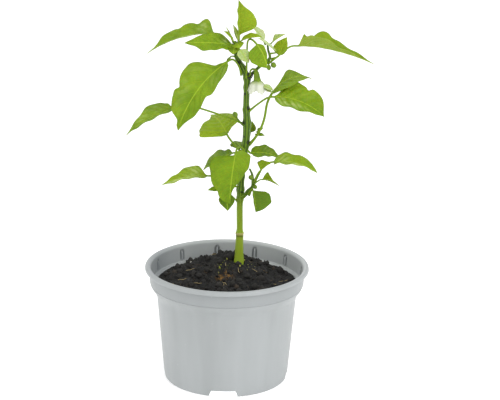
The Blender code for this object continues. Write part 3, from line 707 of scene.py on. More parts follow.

# %% [markdown]
# ## Leaves
#
# A chilli leaf is a thin pointed blade folded a little along its midrib, on a stalk about half its length.
# Side veins leave the midrib in pairs that don't quite match, arch forward and fade near the edge, and the
# green between them swells up. One builder makes every leaf from a row of plain numbers: where it leaves the
# stem, how the stalk sets off, where the blade heads and how it droops, its length and width, and its roll
# and fold. The extras say what makes one leaf different: its two edges, a wave, a lobe, a painted highlight.
#
# Most numbers in this plan were not chosen by hand. Separate programs worked out the rows, by a least-squares
# fit for eighteen leaves, and the fit also gave most points of those leaves' edges. The values were rounded,
# and some were moved afterwards. So this is not how to plan a leaf: a good plan chooses a few sizes for each,
# and draws an edge from the handful of points or the formula that its shape needs.
#
# The grid runs from the stem along the stalk, where its rings are circles, to the tip, where they are flat
# loops. So stalk and blade are one skin with no seam, which is how the leaf grew.

# %% Leaf plan
LEAVES = [
    ("top_leaf", "main_stem", 288, (12, 88, 0, 6), (95, 85, 15, 30, 28), 40, 40, 0.33),
    ("back_left_leaf", "main_stem", 284, (139, 45, 30, 22), (176, 0, 37, 61, 28), -10, 20, 0.27),
    ("front_left_leaf", "main_stem", 286, (223, 34, 10, 5), (198, 8, 7, 39, 20), -40, 12, 0.33),
    ("big_left_leaf", "main_stem", 263, (221, 78, 60, 22), (194, -33, 41, 72, 36), -45, 16, 0.42),
    ("mid_left_leaf", "main_stem", 219, (178, 22, 10, 60), (186, -15, 29, 47, 26), -10, 16, 0.33),
    ("mid_back_leaf", "main_stem", 194, (153, 39, -10, 20), (112, 30, 40, 40, 36), -15, 0, 0.33),
    ("front_heart_leaf", "main_stem", 197, (248, 41, 60, 20), (246, -65, 24, 43, 37), 0, 8, 0.22),
    ("low_back_leaf", "main_stem", 190, (158, 27, 10, 7), (171, -23, 21, 30, 20), -10, 8, 0.33),
    ("low_left_leaf", "main_stem", 171, (179, 6, 10, 26), (189, 5, 30, 40, 20), -10, 12, 0.33),
    ("low_front_leaf", "main_stem", 151, (195, 50, 10, 15), (282, -51, 10, 15, 14), 0, 0, 0.33),
    ("right_dark_leaf", "main_stem", 195, (325, -26, 5, 3), (18, 3, 34, 27, 20), 25, 16, 0.33),
    ("low_right_leaf", "low_shoot", 158, (346, 68, 5, 38), (352, 11, 46, 39, 20), 15, 16, 0.33),
    ("low_dark_leaf", "low_shoot", 159, (302, 50, 0, 10), (288, -54, 18, 19, 27), -36, 30, 0.33),
    ("long_right_leaf", "right_branch", 273, (339, 38, -10, 29), (351, 1, 24, 66, 27), -3, 48, 0.27),
    ("arched_right_leaf", "main_stem", 202, (341, 48, -55, 49), (17, 57, 82, 40, 20), 10, 5, 0.42),
    ("big_right_leaf", "main_stem", 231, (332, 43, 10, 27), (345, 5, 45, 46, 32), 30, 20, 0.45),
    ("round_top_leaf", "main_stem", 261, (280, 87, 0, 41), (332, -43, 38, 22, 19), 45, 8, 0.33),
    ("pale_young_leaf", "main_stem", 283, (285, 40, 40, 10), (316, -39, 10, 13, 8), 30, 10, 0.33),
    ("far_tip_leaf", "right_branch", 288, (150, 60, 0, 2), (147, 51, 10, 16, 9), 0, 15, 0.33),
    ("near_tip_leaf", "right_branch", 288, (340, 50, 0, 2), (340, 40, 10, 14, 10), 20, 15, 0.33),
    ("wing_leaf", "main_stem", 288.5, (334, 40, 0, 3), (334, 29, 25, 20, 8), 20, 25, 0.33),
    ("upright_leaf", "right_branch", 276, (350, 20, 0, 6), (46, 61, 10, 17, 12), 10, 10, 0.33),
    ("strip_leaf", "right_branch", 280, (345, 12, 0, 6), (195, 42, 10, 20, 6), -20, 10, 0.33),
    ("small_pale_leaf", "main_stem", 289, (255, 35, 0, 3), (216, 49, 10, 14, 10), -30, 10, 0.33),
    ("tiny_leaf", "main_stem", 277, (206, 20, 40, 4), (206, -51, 10, 7, 5), 0, 0, 0.33),
    ("bract", "main_stem", 289.5, (150, 60, 0, 3), (185, 70, 10, 10, 5), 0, 15, 0.33),
    ("shoot_leaf_upper", "low_shoot", 172, (316, 65, 10, 11), (0, 44, 13, 13, 10), 20, 30, 0.33),
    ("shoot_leaf_lower", "low_shoot", 168.5, (357, 42, 10, 7), (351, -4, 27, 16, 10), 10, 35, 0.33),
    ("narrow_leaf", "main_stem", 163, (200, 5, 10, 16), (203, -1, 5, 11, 6), -30, 0, 0.33),
    ("node_leaf", "main_stem", 201, (60, 65, 0, 9), (71, 63, 10, 10, 9), 0, 0, 0.33),
    ("rear_leaf", "main_stem", 194, (110, 20, 10, 3), (108, 15, 20, 20, 16), 0, 0, 0.33),
]
# What sets single leaves apart. tone runs from -1, darker green, through 1, young and yellow, to 2, nearly
# white, and the paleness above 1 is a painted reflection of the lamps on small glossy leaves. left_edge and
# right_edge are (place along the blade, distance from the midrib) points. ripple is the wave of the edge in
# plan units, sway turns the midrib sideways in degrees, lobes are how far the base sweeps back on the left and
# the right, stalk thickens the stalk, and sheen is pale patches of painted highlight between the veins:
# (place along, its reach, place across, its span, strength).
EXTRAS = {
    "top_leaf": dict(
        tone=0.6, ripple=0.5,
        left_edge=[(0, 0), (0.08, 4.5), (0.22, 10.5), (0.35, 12.5), (0.5, 11), (0.6, 11), (0.7, 12.5),
                   (0.8, 7.5), (0.9, 3.5), (1, 0)],
        right_edge=[(0, 0), (0.08, 3.5), (0.18, 11.5), (0.26, 14.5), (0.4, 14.5), (0.6, 12.5), (0.78, 6),
                    (0.9, 2.5), (1, 0)]),
    "back_left_leaf": dict(
        tone=-0.1, ripple=0.6, sheen=[(0.4, 0.3, 0.6, 0.35, 0.6), (0.15, 0.1, -0.4, 0.4, 0.4)],
        left_edge=[(0, 0), (0.08, 5), (0.2, 8.5), (0.38, 11.5), (0.6, 11), (0.8, 8), (0.92, 3.5), (1, 0)],
        right_edge=[(0, 0), (0.04, 9), (0.1, 17), (0.15, 17), (0.22, 13.5), (0.3, 15.5), (0.4, 14),
                    (0.47, 11.5), (0.55, 13), (0.64, 11.5), (0.72, 9), (0.8, 5), (0.9, 1.5), (1, 0)]),
    "front_left_leaf": dict(
        tone=0.1, ripple=0.5, sheen=[(0.02, 0.12, -0.4, 0.5, 0.8)],
        left_edge=[(0, 2), (0.05, 6.5), (0.2, 7), (0.37, 9), (0.55, 10), (0.67, 9.5), (0.78, 5.5), (0.9, 2.5),
                   (1, 0)],
        right_edge=[(0, 2), (0.05, 5), (0.18, 8), (0.28, 9.5), (0.4, 9), (0.53, 8.5), (0.63, 6.5), (0.75, 4.5),
                    (0.88, 2.2), (1, 0)]),
    "big_left_leaf": dict(
        tone=0.1, ripple=0.6, sway=6, sheen=[(0.15, 0.15, 0.5, 0.4, 0.2), (0.5, 0.3, -0.6, 0.3, 0.12)],
        left_edge=[(0, 4), (0.05, 7), (0.12, 9.5), (0.25, 12.5), (0.36, 14.5), (0.42, 14), (0.47, 11.5),
                   (0.53, 12), (0.61, 13.2), (0.7, 12), (0.77, 10.5), (0.83, 7.5), (0.9, 4), (1, 0)],
        right_edge=[(0, 0), (0.08, 2.5), (0.14, 4), (0.19, 9.5), (0.24, 15.5), (0.3, 19.5), (0.37, 20),
                    (0.45, 19), (0.52, 16.5), (0.56, 14.5), (0.6, 16.5), (0.67, 15.5), (0.75, 13), (0.82, 10),
                    (0.88, 4), (0.95, 2.5), (1, 0)]),
    "mid_left_leaf": dict(
        tone=0.05, ripple=0.6, sway=-2, sheen=[(0.5, 0.3, -0.5, 0.4, 0.2)],
        left_edge=[(0, 0), (0.05, 6), (0.15, 9), (0.3, 10.5), (0.5, 10.5), (0.7, 8.5), (0.85, 4), (1, 0)],
        right_edge=[(0, 2), (0.06, 8), (0.13, 9.5), (0.22, 13), (0.33, 15.5), (0.45, 14.5), (0.55, 12),
                    (0.67, 9), (0.78, 5), (0.88, 2.5), (1, 0)]),
    "mid_back_leaf": dict(
        tone=0.65, ripple=0.5, lobes=(3, 1),
        left_edge=[(0, 5), (0.08, 14), (0.14, 21), (0.26, 21.2), (0.38, 19.8), (0.5, 16.2), (0.61, 11.8),
                   (0.7, 6.5), (0.8, 3), (1, 0)],
        right_edge=[(0, 1.8), (0.07, 4), (0.14, 7.2), (0.2, 11.5), (0.33, 15.2), (0.55, 15), (0.68, 11.5),
                    (0.76, 6.5), (0.88, 2.5), (1, 0)]),
    "front_heart_leaf": dict(
        tone=-0.25, ripple=0.7, lobes=(4.5, 0), sway=-9,
        left_edge=[(0, 4), (0.02, 9), (0.06, 14), (0.12, 15.5), (0.2, 15.5), (0.28, 14.5), (0.35, 12.5),
                   (0.44, 11), (0.52, 8.5), (0.6, 5.5), (0.7, 2.8), (0.82, 1.2), (0.92, 0.6), (1, 0)],
        right_edge=[(0, 0), (0.045, 3), (0.075, 11), (0.12, 17.3), (0.2, 20.3), (0.3, 20.8), (0.4, 20),
                    (0.52, 19), (0.62, 17.2), (0.7, 15.2), (0.78, 12.2), (0.86, 10.6), (0.92, 8),
                    (0.97, 4.2), (1, 0)]),
    "low_back_leaf": dict(
        tone=-0.3, ripple=0.4,
        right_edge=[(0, 1), (0.06, 6), (0.25, 9.5), (0.36, 14), (0.5, 15), (0.65, 14.3), (0.8, 10), (0.92, 5.5),
                    (1, 1)]),
    "low_left_leaf": dict(
        tone=0.6, ripple=0.5, sheen=[(0.6, 0.3, 0.5, 0.4, 0.9), (0.3, 0.15, -0.4, 0.4, 0.6)],
        left_edge=[(0, 0), (0.03, 4), (0.12, 7), (0.3, 7), (0.5, 5.5), (0.65, 6.5), (0.77, 7), (0.9, 4.5),
                   (1, 0)],
        right_edge=[(0, 0), (0.04, 4), (0.08, 8), (0.13, 12), (0.2, 13.5), (0.3, 14), (0.38, 13), (0.47, 11),
                    (0.58, 8), (0.72, 5.5), (0.84, 2.5), (1, 0)]),
    "low_front_leaf": dict(tone=-0.8),
    "right_dark_leaf": dict(
        tone=-0.45, ripple=0.5, sheen=[(0.5, 0.2, 0.4, 0.3, 0.3)],
        left_edge=[(0, 1), (0.04, 3.5), (0.12, 5.2), (0.3, 7.2), (0.5, 8.5), (0.64, 8), (0.74, 6.5), (0.84, 4),
                   (0.93, 2.5), (1, 0)],
        right_edge=[(0, 3), (0.04, 8), (0.2, 8.5), (0.43, 7), (0.68, 4.5), (0.85, 2.5), (1, 0)]),
    "low_right_leaf": dict(
        tone=0.3, ripple=0.6, sheen=[(0.6, 0.35, -0.6, 0.35, 0.9), (0.2, 0.12, 0.3, 0.4, 0.4)],
        left_edge=[(0, 5), (0.06, 7.5), (0.13, 8.5), (0.22, 10), (0.4, 9.5), (0.55, 9), (0.7, 8.6), (0.78, 6),
                   (0.87, 3.5), (0.94, 2.2), (1, 0)],
        right_edge=[(0, 5), (0.06, 10), (0.13, 6.5), (0.2, 7.2), (0.35, 9.3), (0.47, 7), (0.6, 3.6),
                    (0.73, 1.6), (0.84, 2.4), (1, 0)]),
    "low_dark_leaf": dict(
        tone=-0.8, ripple=0.2,
        left_edge=[(0, 2), (0.05, 9), (0.12, 12.5), (0.3, 15), (0.5, 15.5), (0.64, 14.8), (0.76, 12), (0.88, 8),
                   (0.96, 4), (1, 0)],
        right_edge=[(0, 1), (0.1, 5), (0.3, 8), (0.6, 8.5), (0.85, 5), (1, 0)]),
    "long_right_leaf": dict(
        tone=0.15, ripple=0.7, sway=1,
        sheen=[(0.55, 0.35, -0.7, 0.3, 0.9), (0.2, 0.12, -0.3, 0.4, 0.4)],
        left_edge=[(0, 2), (0.03, 9.5), (0.06, 12.3), (0.1, 9.8), (0.18, 9.3), (0.23, 14), (0.29, 17),
                   (0.34, 16.5), (0.42, 11), (0.52, 8.5), (0.67, 5.5), (0.8, 3), (0.9, 1.2), (1, 0)],
        right_edge=[(0, 2), (0.05, 8), (0.12, 12), (0.18, 16), (0.25, 14.5), (0.33, 12.8), (0.42, 10.5),
                    (0.52, 6.3), (0.62, 4.2), (0.75, 2.2), (0.88, 1), (1, 0)]),
    "arched_right_leaf": dict(
        tone=0.25, ripple=0.3, sway=2, stalk=1.3,
        left_edge=[(0, 1), (0.18, 1.2), (0.3, 3.2), (0.42, 7), (0.54, 13), (0.6, 14), (0.7, 8.5), (0.82, 3),
                   (1, 0)],
        right_edge=[(0, 3), (0.12, 8), (0.32, 14.5), (0.5, 13.5), (0.65, 10.5), (0.8, 6), (0.92, 2), (1, 0)]),
    "big_right_leaf": dict(
        tone=0.1, ripple=0.8, sway=-3,
        sheen=[(0.22, 0.18, -0.5, 0.35, 0.65), (0.5, 0.2, -0.6, 0.25, 0.35), (0.6, 0.2, 0.5, 0.3, 0.1)],
        left_edge=[(0, 1.5), (0.06, 4), (0.1, 7.5), (0.14, 12), (0.2, 15), (0.32, 16.5), (0.4, 15.5),
                   (0.48, 13.5), (0.53, 11.5), (0.58, 14), (0.65, 14.5), (0.72, 13.5), (0.79, 11),
                   (0.86, 7.5), (0.93, 3.5), (1, 0)],
        right_edge=[(0, 3), (0.08, 10.5), (0.18, 15), (0.32, 16), (0.42, 16.5), (0.54, 15.3), (0.66, 13.2),
                    (0.78, 8.5), (0.9, 4), (1, 0)]),
    "round_top_leaf": dict(
        tone=-0.25, ripple=0.4, sway=-3,
        left_edge=[(0, 1), (0.15, 3.8), (0.3, 3.8), (0.5, 3), (0.7, 1.4), (1, 0)],
        right_edge=[(0, 7), (0.06, 9.2), (0.17, 11.3), (0.4, 12.9), (0.62, 12), (0.78, 8.8), (0.9, 5.5),
                    (1, 0)]),
    "pale_young_leaf": dict(tone=1.5, left_edge=[(0, 1), (0.2, 4.5), (0.5, 5.2), (0.8, 3), (1, 0)],
                            right_edge=[(0, 1), (0.2, 4.5), (0.5, 5), (0.8, 3), (1, 0)]),
    "small_pale_leaf": dict(tone=0.9),
    "shoot_leaf_upper": dict(
        tone=0.6, left_edge=[(0, 1), (0.04, 4), (0.12, 7), (0.3, 7.5), (0.47, 6.5), (0.7, 2.5), (1, 0)],
        right_edge=[(0, 0.5), (0.3, 1.5), (0.6, 4), (0.75, 5), (0.9, 2.5), (1, 0)]),
    "shoot_leaf_lower": dict(
        tone=0.5, left_edge=[(0, 1), (0.08, 4.5), (0.2, 8), (0.36, 5), (0.55, 2.2), (0.8, 0.8), (1, 0)],
        right_edge=[(0, 1), (0.1, 5), (0.25, 7.5), (0.42, 7.5), (0.58, 4.5), (0.8, 1.5), (1, 0)]),
    "strip_leaf": dict(tone=2.0, left_edge=[(0, 0.5), (0.3, 2.4), (0.7, 2.2), (1, 0)],
                       right_edge=[(0, 0.5), (0.3, 2.8), (0.7, 2.6), (1, 0)]),
    "wing_leaf": dict(tone=0.9, left_edge=[(0, 1), (0.15, 3.5), (0.4, 5), (0.7, 3.5), (1, 0)],
                      right_edge=[(0, 1), (0.15, 3.5), (0.4, 5), (0.7, 3.5), (1, 0)]),
    "far_tip_leaf": dict(tone=1.7, left_edge=[(0, 1), (0.2, 3), (0.6, 4), (0.85, 2.5), (1, 0)],
                         right_edge=[(0, 1), (0.2, 4.5), (0.5, 6), (0.8, 3.5), (1, 0)]),
    "near_tip_leaf": dict(tone=1.4, left_edge=[(0, 1), (0.15, 6), (0.35, 6), (0.7, 2.5), (1, 0)],
                          right_edge=[(0, 1), (0.15, 4), (0.4, 3.5), (0.7, 2), (1, 0)]),
    "upright_leaf": dict(tone=0.95, left_edge=[(0, 1), (0.15, 6), (0.35, 7.5), (0.7, 5), (1, 0)]),
    "bract": dict(tone=0.8),
    "node_leaf": dict(tone=-0.5),
    "crown_left": dict(tone=1.1), "crown_right": dict(tone=1.7),
    "crown_front": dict(tone=0.5), "crown_hub": dict(tone=0.5), "crown_thin": dict(tone=0.8),
    "crown_tuft": dict(tone=0.3), "stalk_pale_leaf": dict(tone=1.6), "stalk_pale_strip": dict(tone=1.8),
}

# Small leaves with no node of their own. A point in place of a stem's name is where the stalk starts.
SMALL_LEAVES = [
    ("crown_front", "main_stem", 286.5, (265, 30, 40, 2.5), (252, -38, 30, 8, 10), -5, 10, 0.45),
    ("crown_left", "main_stem", 287, (205, 20, 30, 3), (192, 12, 30, 15, 9), -60, 12, 0.35),
    ("crown_right", "main_stem", 281, (310, 40, 40, 3), (325, -28, 25, 13, 9), 40, 5, 0.45),
    ("crown_hub", "main_stem", 288, (280, 50, 40, 2), (290, 10, 60, 9, 10), 20, 0, 0.45),
    ("crown_thin", "main_stem", 289, (320, 80, 0, 2), (170, 76, 10, 14, 5), 70, 20, 0.35),
    ("crown_tuft", "main_stem", 286, (240, 40, 20, 2), (212, -5, 25, 8, 9), -50, 10, 0.45),
    ("stalk_pale_leaf", (25.5, 14.5, 253.8), 0, (350, 10, 10, 2), (352, -14, 20, 10, 6), 30, 10, 0.40),
    ("stalk_pale_strip", (27.0, 14.0, 251.5), 0, (10, 0, 0, 2), (8, -24, 10, 8, 4), 40, 10, 0.40),
    ("axil_leaf", (22.5, 20.5, 211.5), 0, (20, 30, 0, 1.5), (30, 35, 20, 6, 5), 10, 10, 0.40),
    ("axil_leaf_low", (21.8, 20.5, 210.0), 0, (340, -10, 0, 1.5), (350, 5, 20, 7, 4), 30, 10, 0.40),
]

# %% Leaf geometry
def direction(bearing, up):
    """A unit vector from a bearing, counted from right towards the back, and an angle up from level, in degrees"""
    b, e = np.radians(bearing), np.radians(up)
    return np.stack([np.cos(b) * np.cos(e), np.sin(b) * np.cos(e), np.sin(e) + 0 * b], -1)


def outline(t, belly):
    """Half-width of a blade as a share of its widest: t to one power times (1 - t) to another, widest at belly"""
    tip = 1.25
    base = tip * belly / (1 - belly)
    t = np.clip(t, 0, 1)
    return t ** base * (1 - t) ** tip / (belly ** base * (1 - belly) ** tip)


def curve(points, t):
    """A smooth line through (place, value) points, read at t: cubic pieces that share slopes where they meet"""
    p = np.array(points, float)
    slope = np.gradient(p[:, 1], p[:, 0])
    i = np.clip(np.searchsorted(p[:, 0], t, side="right") - 1, 0, len(p) - 2)
    gap = p[i + 1, 0] - p[i, 0]
    f = np.clip((t - p[i, 0]) / gap, 0, 1)
    return (p[i, 1] * (1 + 2 * f) * (1 - f) ** 2 + slope[i] * gap * f * (1 - f) ** 2
            + p[i + 1, 1] * f * f * (3 - 2 * f) + slope[i + 1] * gap * f * f * (f - 1))


def stem_at(stem, z):
    """Centre and radius of a stem at a height. A leaf on another leaf's stalk gives the point itself instead"""
    if not isinstance(stem, str):
        return np.array([*stem, 0.0])
    rows = np.array(STEMS[stem], float)
    return np.array([np.interp(z, rows[:, 2], rows[:, i]) for i in range(4)])


def leaf_line(plan, sway, steps):
    """Centres, along and left directions from the stem's face to the blade's tip. The stalk turns from its own
    heading to the blade's over its last two fifths, and the blade droops evenly"""
    name, stem, height, (bearing, up, sag, stalk), (heading, pitch, droop, long, wide), roll, fold, belly = plan
    at = stem_at(stem, height)
    clear = 1.3 if stem == "right_branch" else 0.5
    start = at[:3] + direction(bearing, 0) * (at[3] + clear + 0.8 * abs(np.sin(np.radians(up))))
    s, b = steps
    mid = (np.arange(s) + 0.5) / s
    turn = np.clip((mid - 0.6) / 0.4, 0, 1)
    turn = turn * turn * (3 - 2 * turn)
    first = unit((1 - turn)[:, None] * direction(bearing + 0 * mid, up - sag * mid)
                 + turn[:, None] * direction(heading, pitch))
    t = (np.arange(b) + 0.5) / b
    second = direction(heading + sway * t, pitch - droop * t)
    pieces = np.concatenate([first * stalk / s, second * long / b])
    path = start + np.concatenate([[np.zeros(3)], np.cumsum(pieces, 0)])
    t = np.arange(b + 1) / b
    along = direction(heading + sway * t, pitch - droop * t)
    across = np.stack([-np.sin(np.radians(heading + sway * t)), np.cos(np.radians(heading + sway * t)), 0 * t], -1)
    r = np.radians(roll)
    left = across * np.cos(r) + np.cross(along, across) * np.sin(r)
    lefts = [left[0]]
    for d in unit(np.concatenate([first, along[:1]]))[:-1][::-1]:
        lefts.append(unit(lefts[-1] - np.dot(lefts[-1], d) * d))
    stalk_left = np.array(lefts[1:][::-1])
    return path, np.concatenate([unit(first), along]), np.concatenate([stalk_left, left])


CUP = 0.001  # how much steeper a blade's half is at its edge than at the midrib, in radians


def leaf_grid(plan, extras):
    """Points of the leaf's rings and what is stored on them. Round the loop, the first half runs over the upper face
    from the left edge to the right one, and the second half returns below"""
    name, stem, height, (bearing, up, sag, stalk), (heading, pitch, droop, long, wide), roll, fold, belly = plan
    s = max(7, int(stalk / 1.3))
    b = 24 if long < 22 else (40 if long < 35 else 76)
    m = 10 if wide < 11 else (16 if wide < 22 else 30)
    path, along, left = leaf_line(plan, extras.get("sway", 0), (s, b))
    up_way = np.cross(along, left)
    n = len(path)
    row = np.arange(n)
    t = np.clip((row - s) / b, 0, 1)[:, None]
    phi = (np.arange(2 * m) + 0.5) / (2 * m)
    lower = (phi > 0.5)
    v = np.where(lower, -1 + 4 * (phi - 0.5), 1 - 4 * phi)[None, :]
    v = v / np.abs(v).max()
    side = np.sign(v)
    a = np.abs(v)
    half = wide / 2 * outline(t, belly) + 0 * a
    for w, key in ((1, "left_edge"), (-1, "right_edge")):
        if key in extras:
            half = np.where(side == w, np.clip(curve(extras[key], t), 0.15, None), half)
    lift = np.radians(fold)
    out_x = half * (np.sin(lift + CUP * a) - np.sin(lift)) / CUP
    out_z = half * (np.cos(lift) - np.cos(lift + CUP * a)) / CUP
    shape = np.clip(half / 6, 0, 1)
    wave = extras.get("ripple", 0.3) * a ** 2.2 * shape * np.sin(
        2 * np.pi * (3.2 * t + 0.31 * side) + len(name))
    q = 7 * (t - 0.27 * a ** 1.3) + 0.5 * (side > 0)
    puff = 0.30 * shape * np.cos(2 * np.pi * q) * np.clip(a / 0.12, 0, 1) * np.clip((1 - a) / 0.25, 0, 1)
    rib = np.exp(-(a * half / 0.55) ** 2) * (1 - 0.75 * t)
    thick = 0.17 * (1 - 0.45 * a ** 4)
    blade_x = side * out_x
    blade_z = out_z + wave + puff + np.where(lower, -thick - 0.62 * rib, thick - 0.30 * rib)
    stalk_r = (0.6 if long < 22 else 0.85) * extras.get("stalk", 1) * (1 + 0.35 * np.exp(-row / 2.2))[:, None]
    ang = phi[None, :] * 2 * np.pi
    round_x, round_z = stalk_r * np.cos(ang), stalk_r * np.sin(ang) - 0.25 * stalk_r * (np.sin(ang) > 0.6)
    blend = np.clip((row - s) / (b * 0.07), 0, 1)[:, None]
    blend = blend * blend * (3 - 2 * blend)
    x = blend * blade_x + (1 - blend) * (round_x + blade_x * (blend > 0) * 0.6)
    z = blend * blade_z + (1 - blend) * round_z
    lobes = extras.get("lobes", (0, 0))
    back = (-np.where(side > 0, lobes[0], lobes[1]) * a ** 1.4 * np.exp(-(t / 0.16) ** 1.2)
            * np.clip(half / (wide * 0.2), 0, 1))
    points = (path[:, None] + x[..., None] * left[:, None] + z[..., None] * up_way[:, None]
              + back[..., None] * along[:, None])
    sheen = sum((amount * np.exp(-((t - place) / reach) ** 2 - ((v - at) / span) ** 2)
                 for place, reach, at, span, amount in extras.get("sheen", [])), 0 * t * v)
    store = {"across": v * half, "under": 1.0 * lower + 0 * t, "stalk": 1 - blend + 0 * v, "sheen": sheen * blend,
             "tone": extras.get("tone", 0) + 0 * t * v}
    uv = np.stack([(v + 1) / 2 + 0 * t, t + 0 * v], -1)
    start_share = np.clip(row / max(s, 4), 0, 1)
    return points, uv, store, start_share * start_share * (3 - 2 * start_share)


# %% [markdown]
# The leaf's finish draws the veins from the same sum that the surface used, so a painted vein lies in the
# groove that was modelled for it. Between them runs a net of finer veins, from the edges of a cell pattern.
# The upper face is deep green with a soft gloss, and the lower face is paler and duller.

# %% Leaf finish
def leaf_parts(f):
    """What colour and bump share: midrib, side veins, fine net, and the stored numbers"""
    uv = f.node("ShaderNodeUVMap", {"uv_map": "grain"})
    u = f.node("ShaderNodeSeparateXYZ", {}, {0: uv}, out="X")
    v = f.node("ShaderNodeSeparateXYZ", {}, {0: uv}, out="Y")
    stored = {key: f.node("ShaderNodeAttribute", {"attribute_name": key}, out="Fac")
              for key in ("across", "under", "stalk", "tone", "sheen")}
    a = abs(2 * u - 1)
    side = f.math("GREATER_THAN", u, 0.5)
    q = 7 * (v - 0.27 * a ** 1.3) + 0.5 * side + 0.12 * (noise(f, 0.006, 2) - 0.5)
    near = abs(f.math("FRACT", q) - 0.5)
    veins = rise(near, 0.040, 0.0) * rise(a, 0.95, 0.5)
    midrib = rise(abs(stored["across"]), 0.62, 0.18) * rise(v, 1.05, 0.75)
    cells = f.node("ShaderNodeTexVoronoi", {"feature": "DISTANCE_TO_EDGE"},
                   {"Vector": f.node("ShaderNodeTexCoord", out="Object"), "Scale": 430.0})
    net = rise(cells, 0.11, 0.0)
    stored["between"] = rise(near, 0.06, 0.30)
    return veins, midrib, net, stored


def leaf_colour(f):
    veins, midrib, net, stored = leaf_parts(f)
    cloud = rise(0.6 * noise(f, 0.011, 3) + 0.4 * noise(f, 0.0035, 2), 0.35, 0.65)
    top = tint((0.124, 0.230, 0.004), (0.198, 0.324, 0.006), cloud)
    top = tint(top, (0.36, 0.49, 0.022), 0.60 * rise(stored["tone"], 0.0, 1.0))
    # Tone above 1 is painted reflection: small glossy leaves turn nearly white. Tone below 0 makes the green darker
    top = tint(top, (0.60, 0.70, 0.40), 0.90 * rise(stored["tone"], 1.0, 2.0))
    top = tint(top, (0.065, 0.145, 0.006), 0.80 * rise(stored["tone"], 0.0, -1.0))
    top = tint(top, (0.090, 0.180, 0.005), 0.25 * net)
    top = tint(top, (0.30, 0.44, 0.018), 0.50 * veins)
    # Painted highlight: pale patches between the veins, where the leaf's gloss would catch the lamps
    patchy = (0.25 + 0.75 * stored["between"]) * rise(noise(f, 0.005, 3), 0.30, 0.55)
    top = tint(top, (0.56, 0.67, 0.24), stored["sheen"] * patchy)
    top = tint(top, (0.36, 0.50, 0.030), 0.70 * midrib)
    under = tint((0.200, 0.300, 0.026), (0.265, 0.370, 0.040), cloud)
    under = tint(under, (0.37, 0.47, 0.12), 0.30 * net)
    under = tint(under, (0.43, 0.54, 0.15), 0.6 * veins)
    under = tint(under, (0.50, 0.60, 0.20), 0.8 * midrib)
    both = tint(top, under, stored["under"])
    return tint(both, (0.185, 0.300, 0.014), stored["stalk"])


def leaf_rough(f):
    under = f.node("ShaderNodeAttribute", {"attribute_name": "under"}, out="Fac")
    return 0.34 + 0.20 * noise(f, 0.004, 3) + 0.22 * under


def leaf_height(f):
    veins, midrib, net, stored = leaf_parts(f)
    return 0.5 * noise(f, 0.0016, 3) - 0.55 * net - 0.9 * veins + 0.25 * noise(f, 0.0005, 2)


leaf_finish = finish("leaf_green_veined", leaf_colour, leaf_rough, leaf_height, 0.00022, 0.8,
                     Specular_IOR_Level=0.15, Subsurface_Weight=0.08, Subsurface_Scale=0.0015)

# %% Leaf pieces
FAR_OFF = 4  # a leaf whose middle is further than this from its node's is moved onto it, in plan units
widest_gap = 0
for plan in SMALL_LEAVES:
    rings, uv, store, _ = leaf_grid(plan, EXTRAS.get(plan[0], {}))
    skin(plan[0] + "_fine", rings, leaf_finish, uv=uv, numbers=store)
print("small leaves with no node of their own:", len(SMALL_LEAVES))

for plan in LEAVES:
    extras = EXTRAS.get(plan[0], {})
    plain = leaf_grid(plan, {})[0]
    low, high = (np.array(c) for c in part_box(plan[0]))
    gap = ((low + high) / 2 - AXIS) / MM - (plain.min((0, 1)) + plain.max((0, 1))) / 2
    shift = gap * (np.abs(gap).max() > FAR_OFF)
    rings, uv, store, share = leaf_grid(plan, extras)
    rings = rings + share[:, None, None] * shift
    inward = unit(rings[0].mean(0) - rings[1].mean(0)) * 2.0
    rings = np.concatenate([rings[:1] + inward, rings])
    uv = np.concatenate([uv[:1], uv])
    store = {key: np.concatenate([value[:1], value]) for key, value in store.items()}
    piece = skin(plan[0] + "_fine", rings, leaf_finish, uv=uv, numbers=store)
    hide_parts(plan[0])
    widest_gap = max(widest_gap, np.abs(gap).max())
    print(f"{plan[0]:20s} faces {len(piece.data.polygons):5d}  gap to its node's middle {np.round(gap, 2)}")
print("widest gap between a leaf's middle and its node's, in plan units:", round(widest_gap, 2))

# %% [markdown]
# ## The flower and the buds
#
# The flower hangs on a short curved stalk that thickens downwards into a green cup. The white bell below it
# is one grown piece, split into pointed lobes at its open edge, and a green pistil hangs inside. Buds are
# small and egg shaped, each on a short stalk of its own. The bell is a skin that runs down the outside and
# back up the inside, with the lobes as a wave in how far down the edge reaches.

# %% Flower finishes
# Painted shade: the bell is darkened along the seams where its lobes meet
petal_finish = finish(
    "petal_white_soft",
    lambda f: tint(tint((0.64, 0.66, 0.55), (0.36, 0.46, 0.14), 0.80 * rise(
        f.node("ShaderNodeAttribute", {"attribute_name": "drop"}, out="Fac"), 0.42, 0.05)
        + 0.08 * noise(f, 0.002, 3)), (0.34, 0.38, 0.26), 0.60 * rise(
        f.node("ShaderNodeAttribute", {"attribute_name": "seam"}, out="Fac"), 0.35, 0.95)),
    lambda f: 0.5 + 0.2 * noise(f, 0.002, 2),
    lambda f: noise(f, 0.0012, 3, 0.6), 0.0002, 0.6, Specular_IOR_Level=0.3)
cup_finish = finish(
    "calyx_green_soft",
    lambda f: tint((0.090, 0.160, 0.008), (0.170, 0.270, 0.014), rise(noise(f, 0.002, 3), 0.3, 0.7)),
    lambda f: 0.4 + 0.2 * noise(f, 0.002, 2),
    lambda f: noise(f, 0.0008, 3), 0.0002, 0.7, Specular_IOR_Level=0.25)

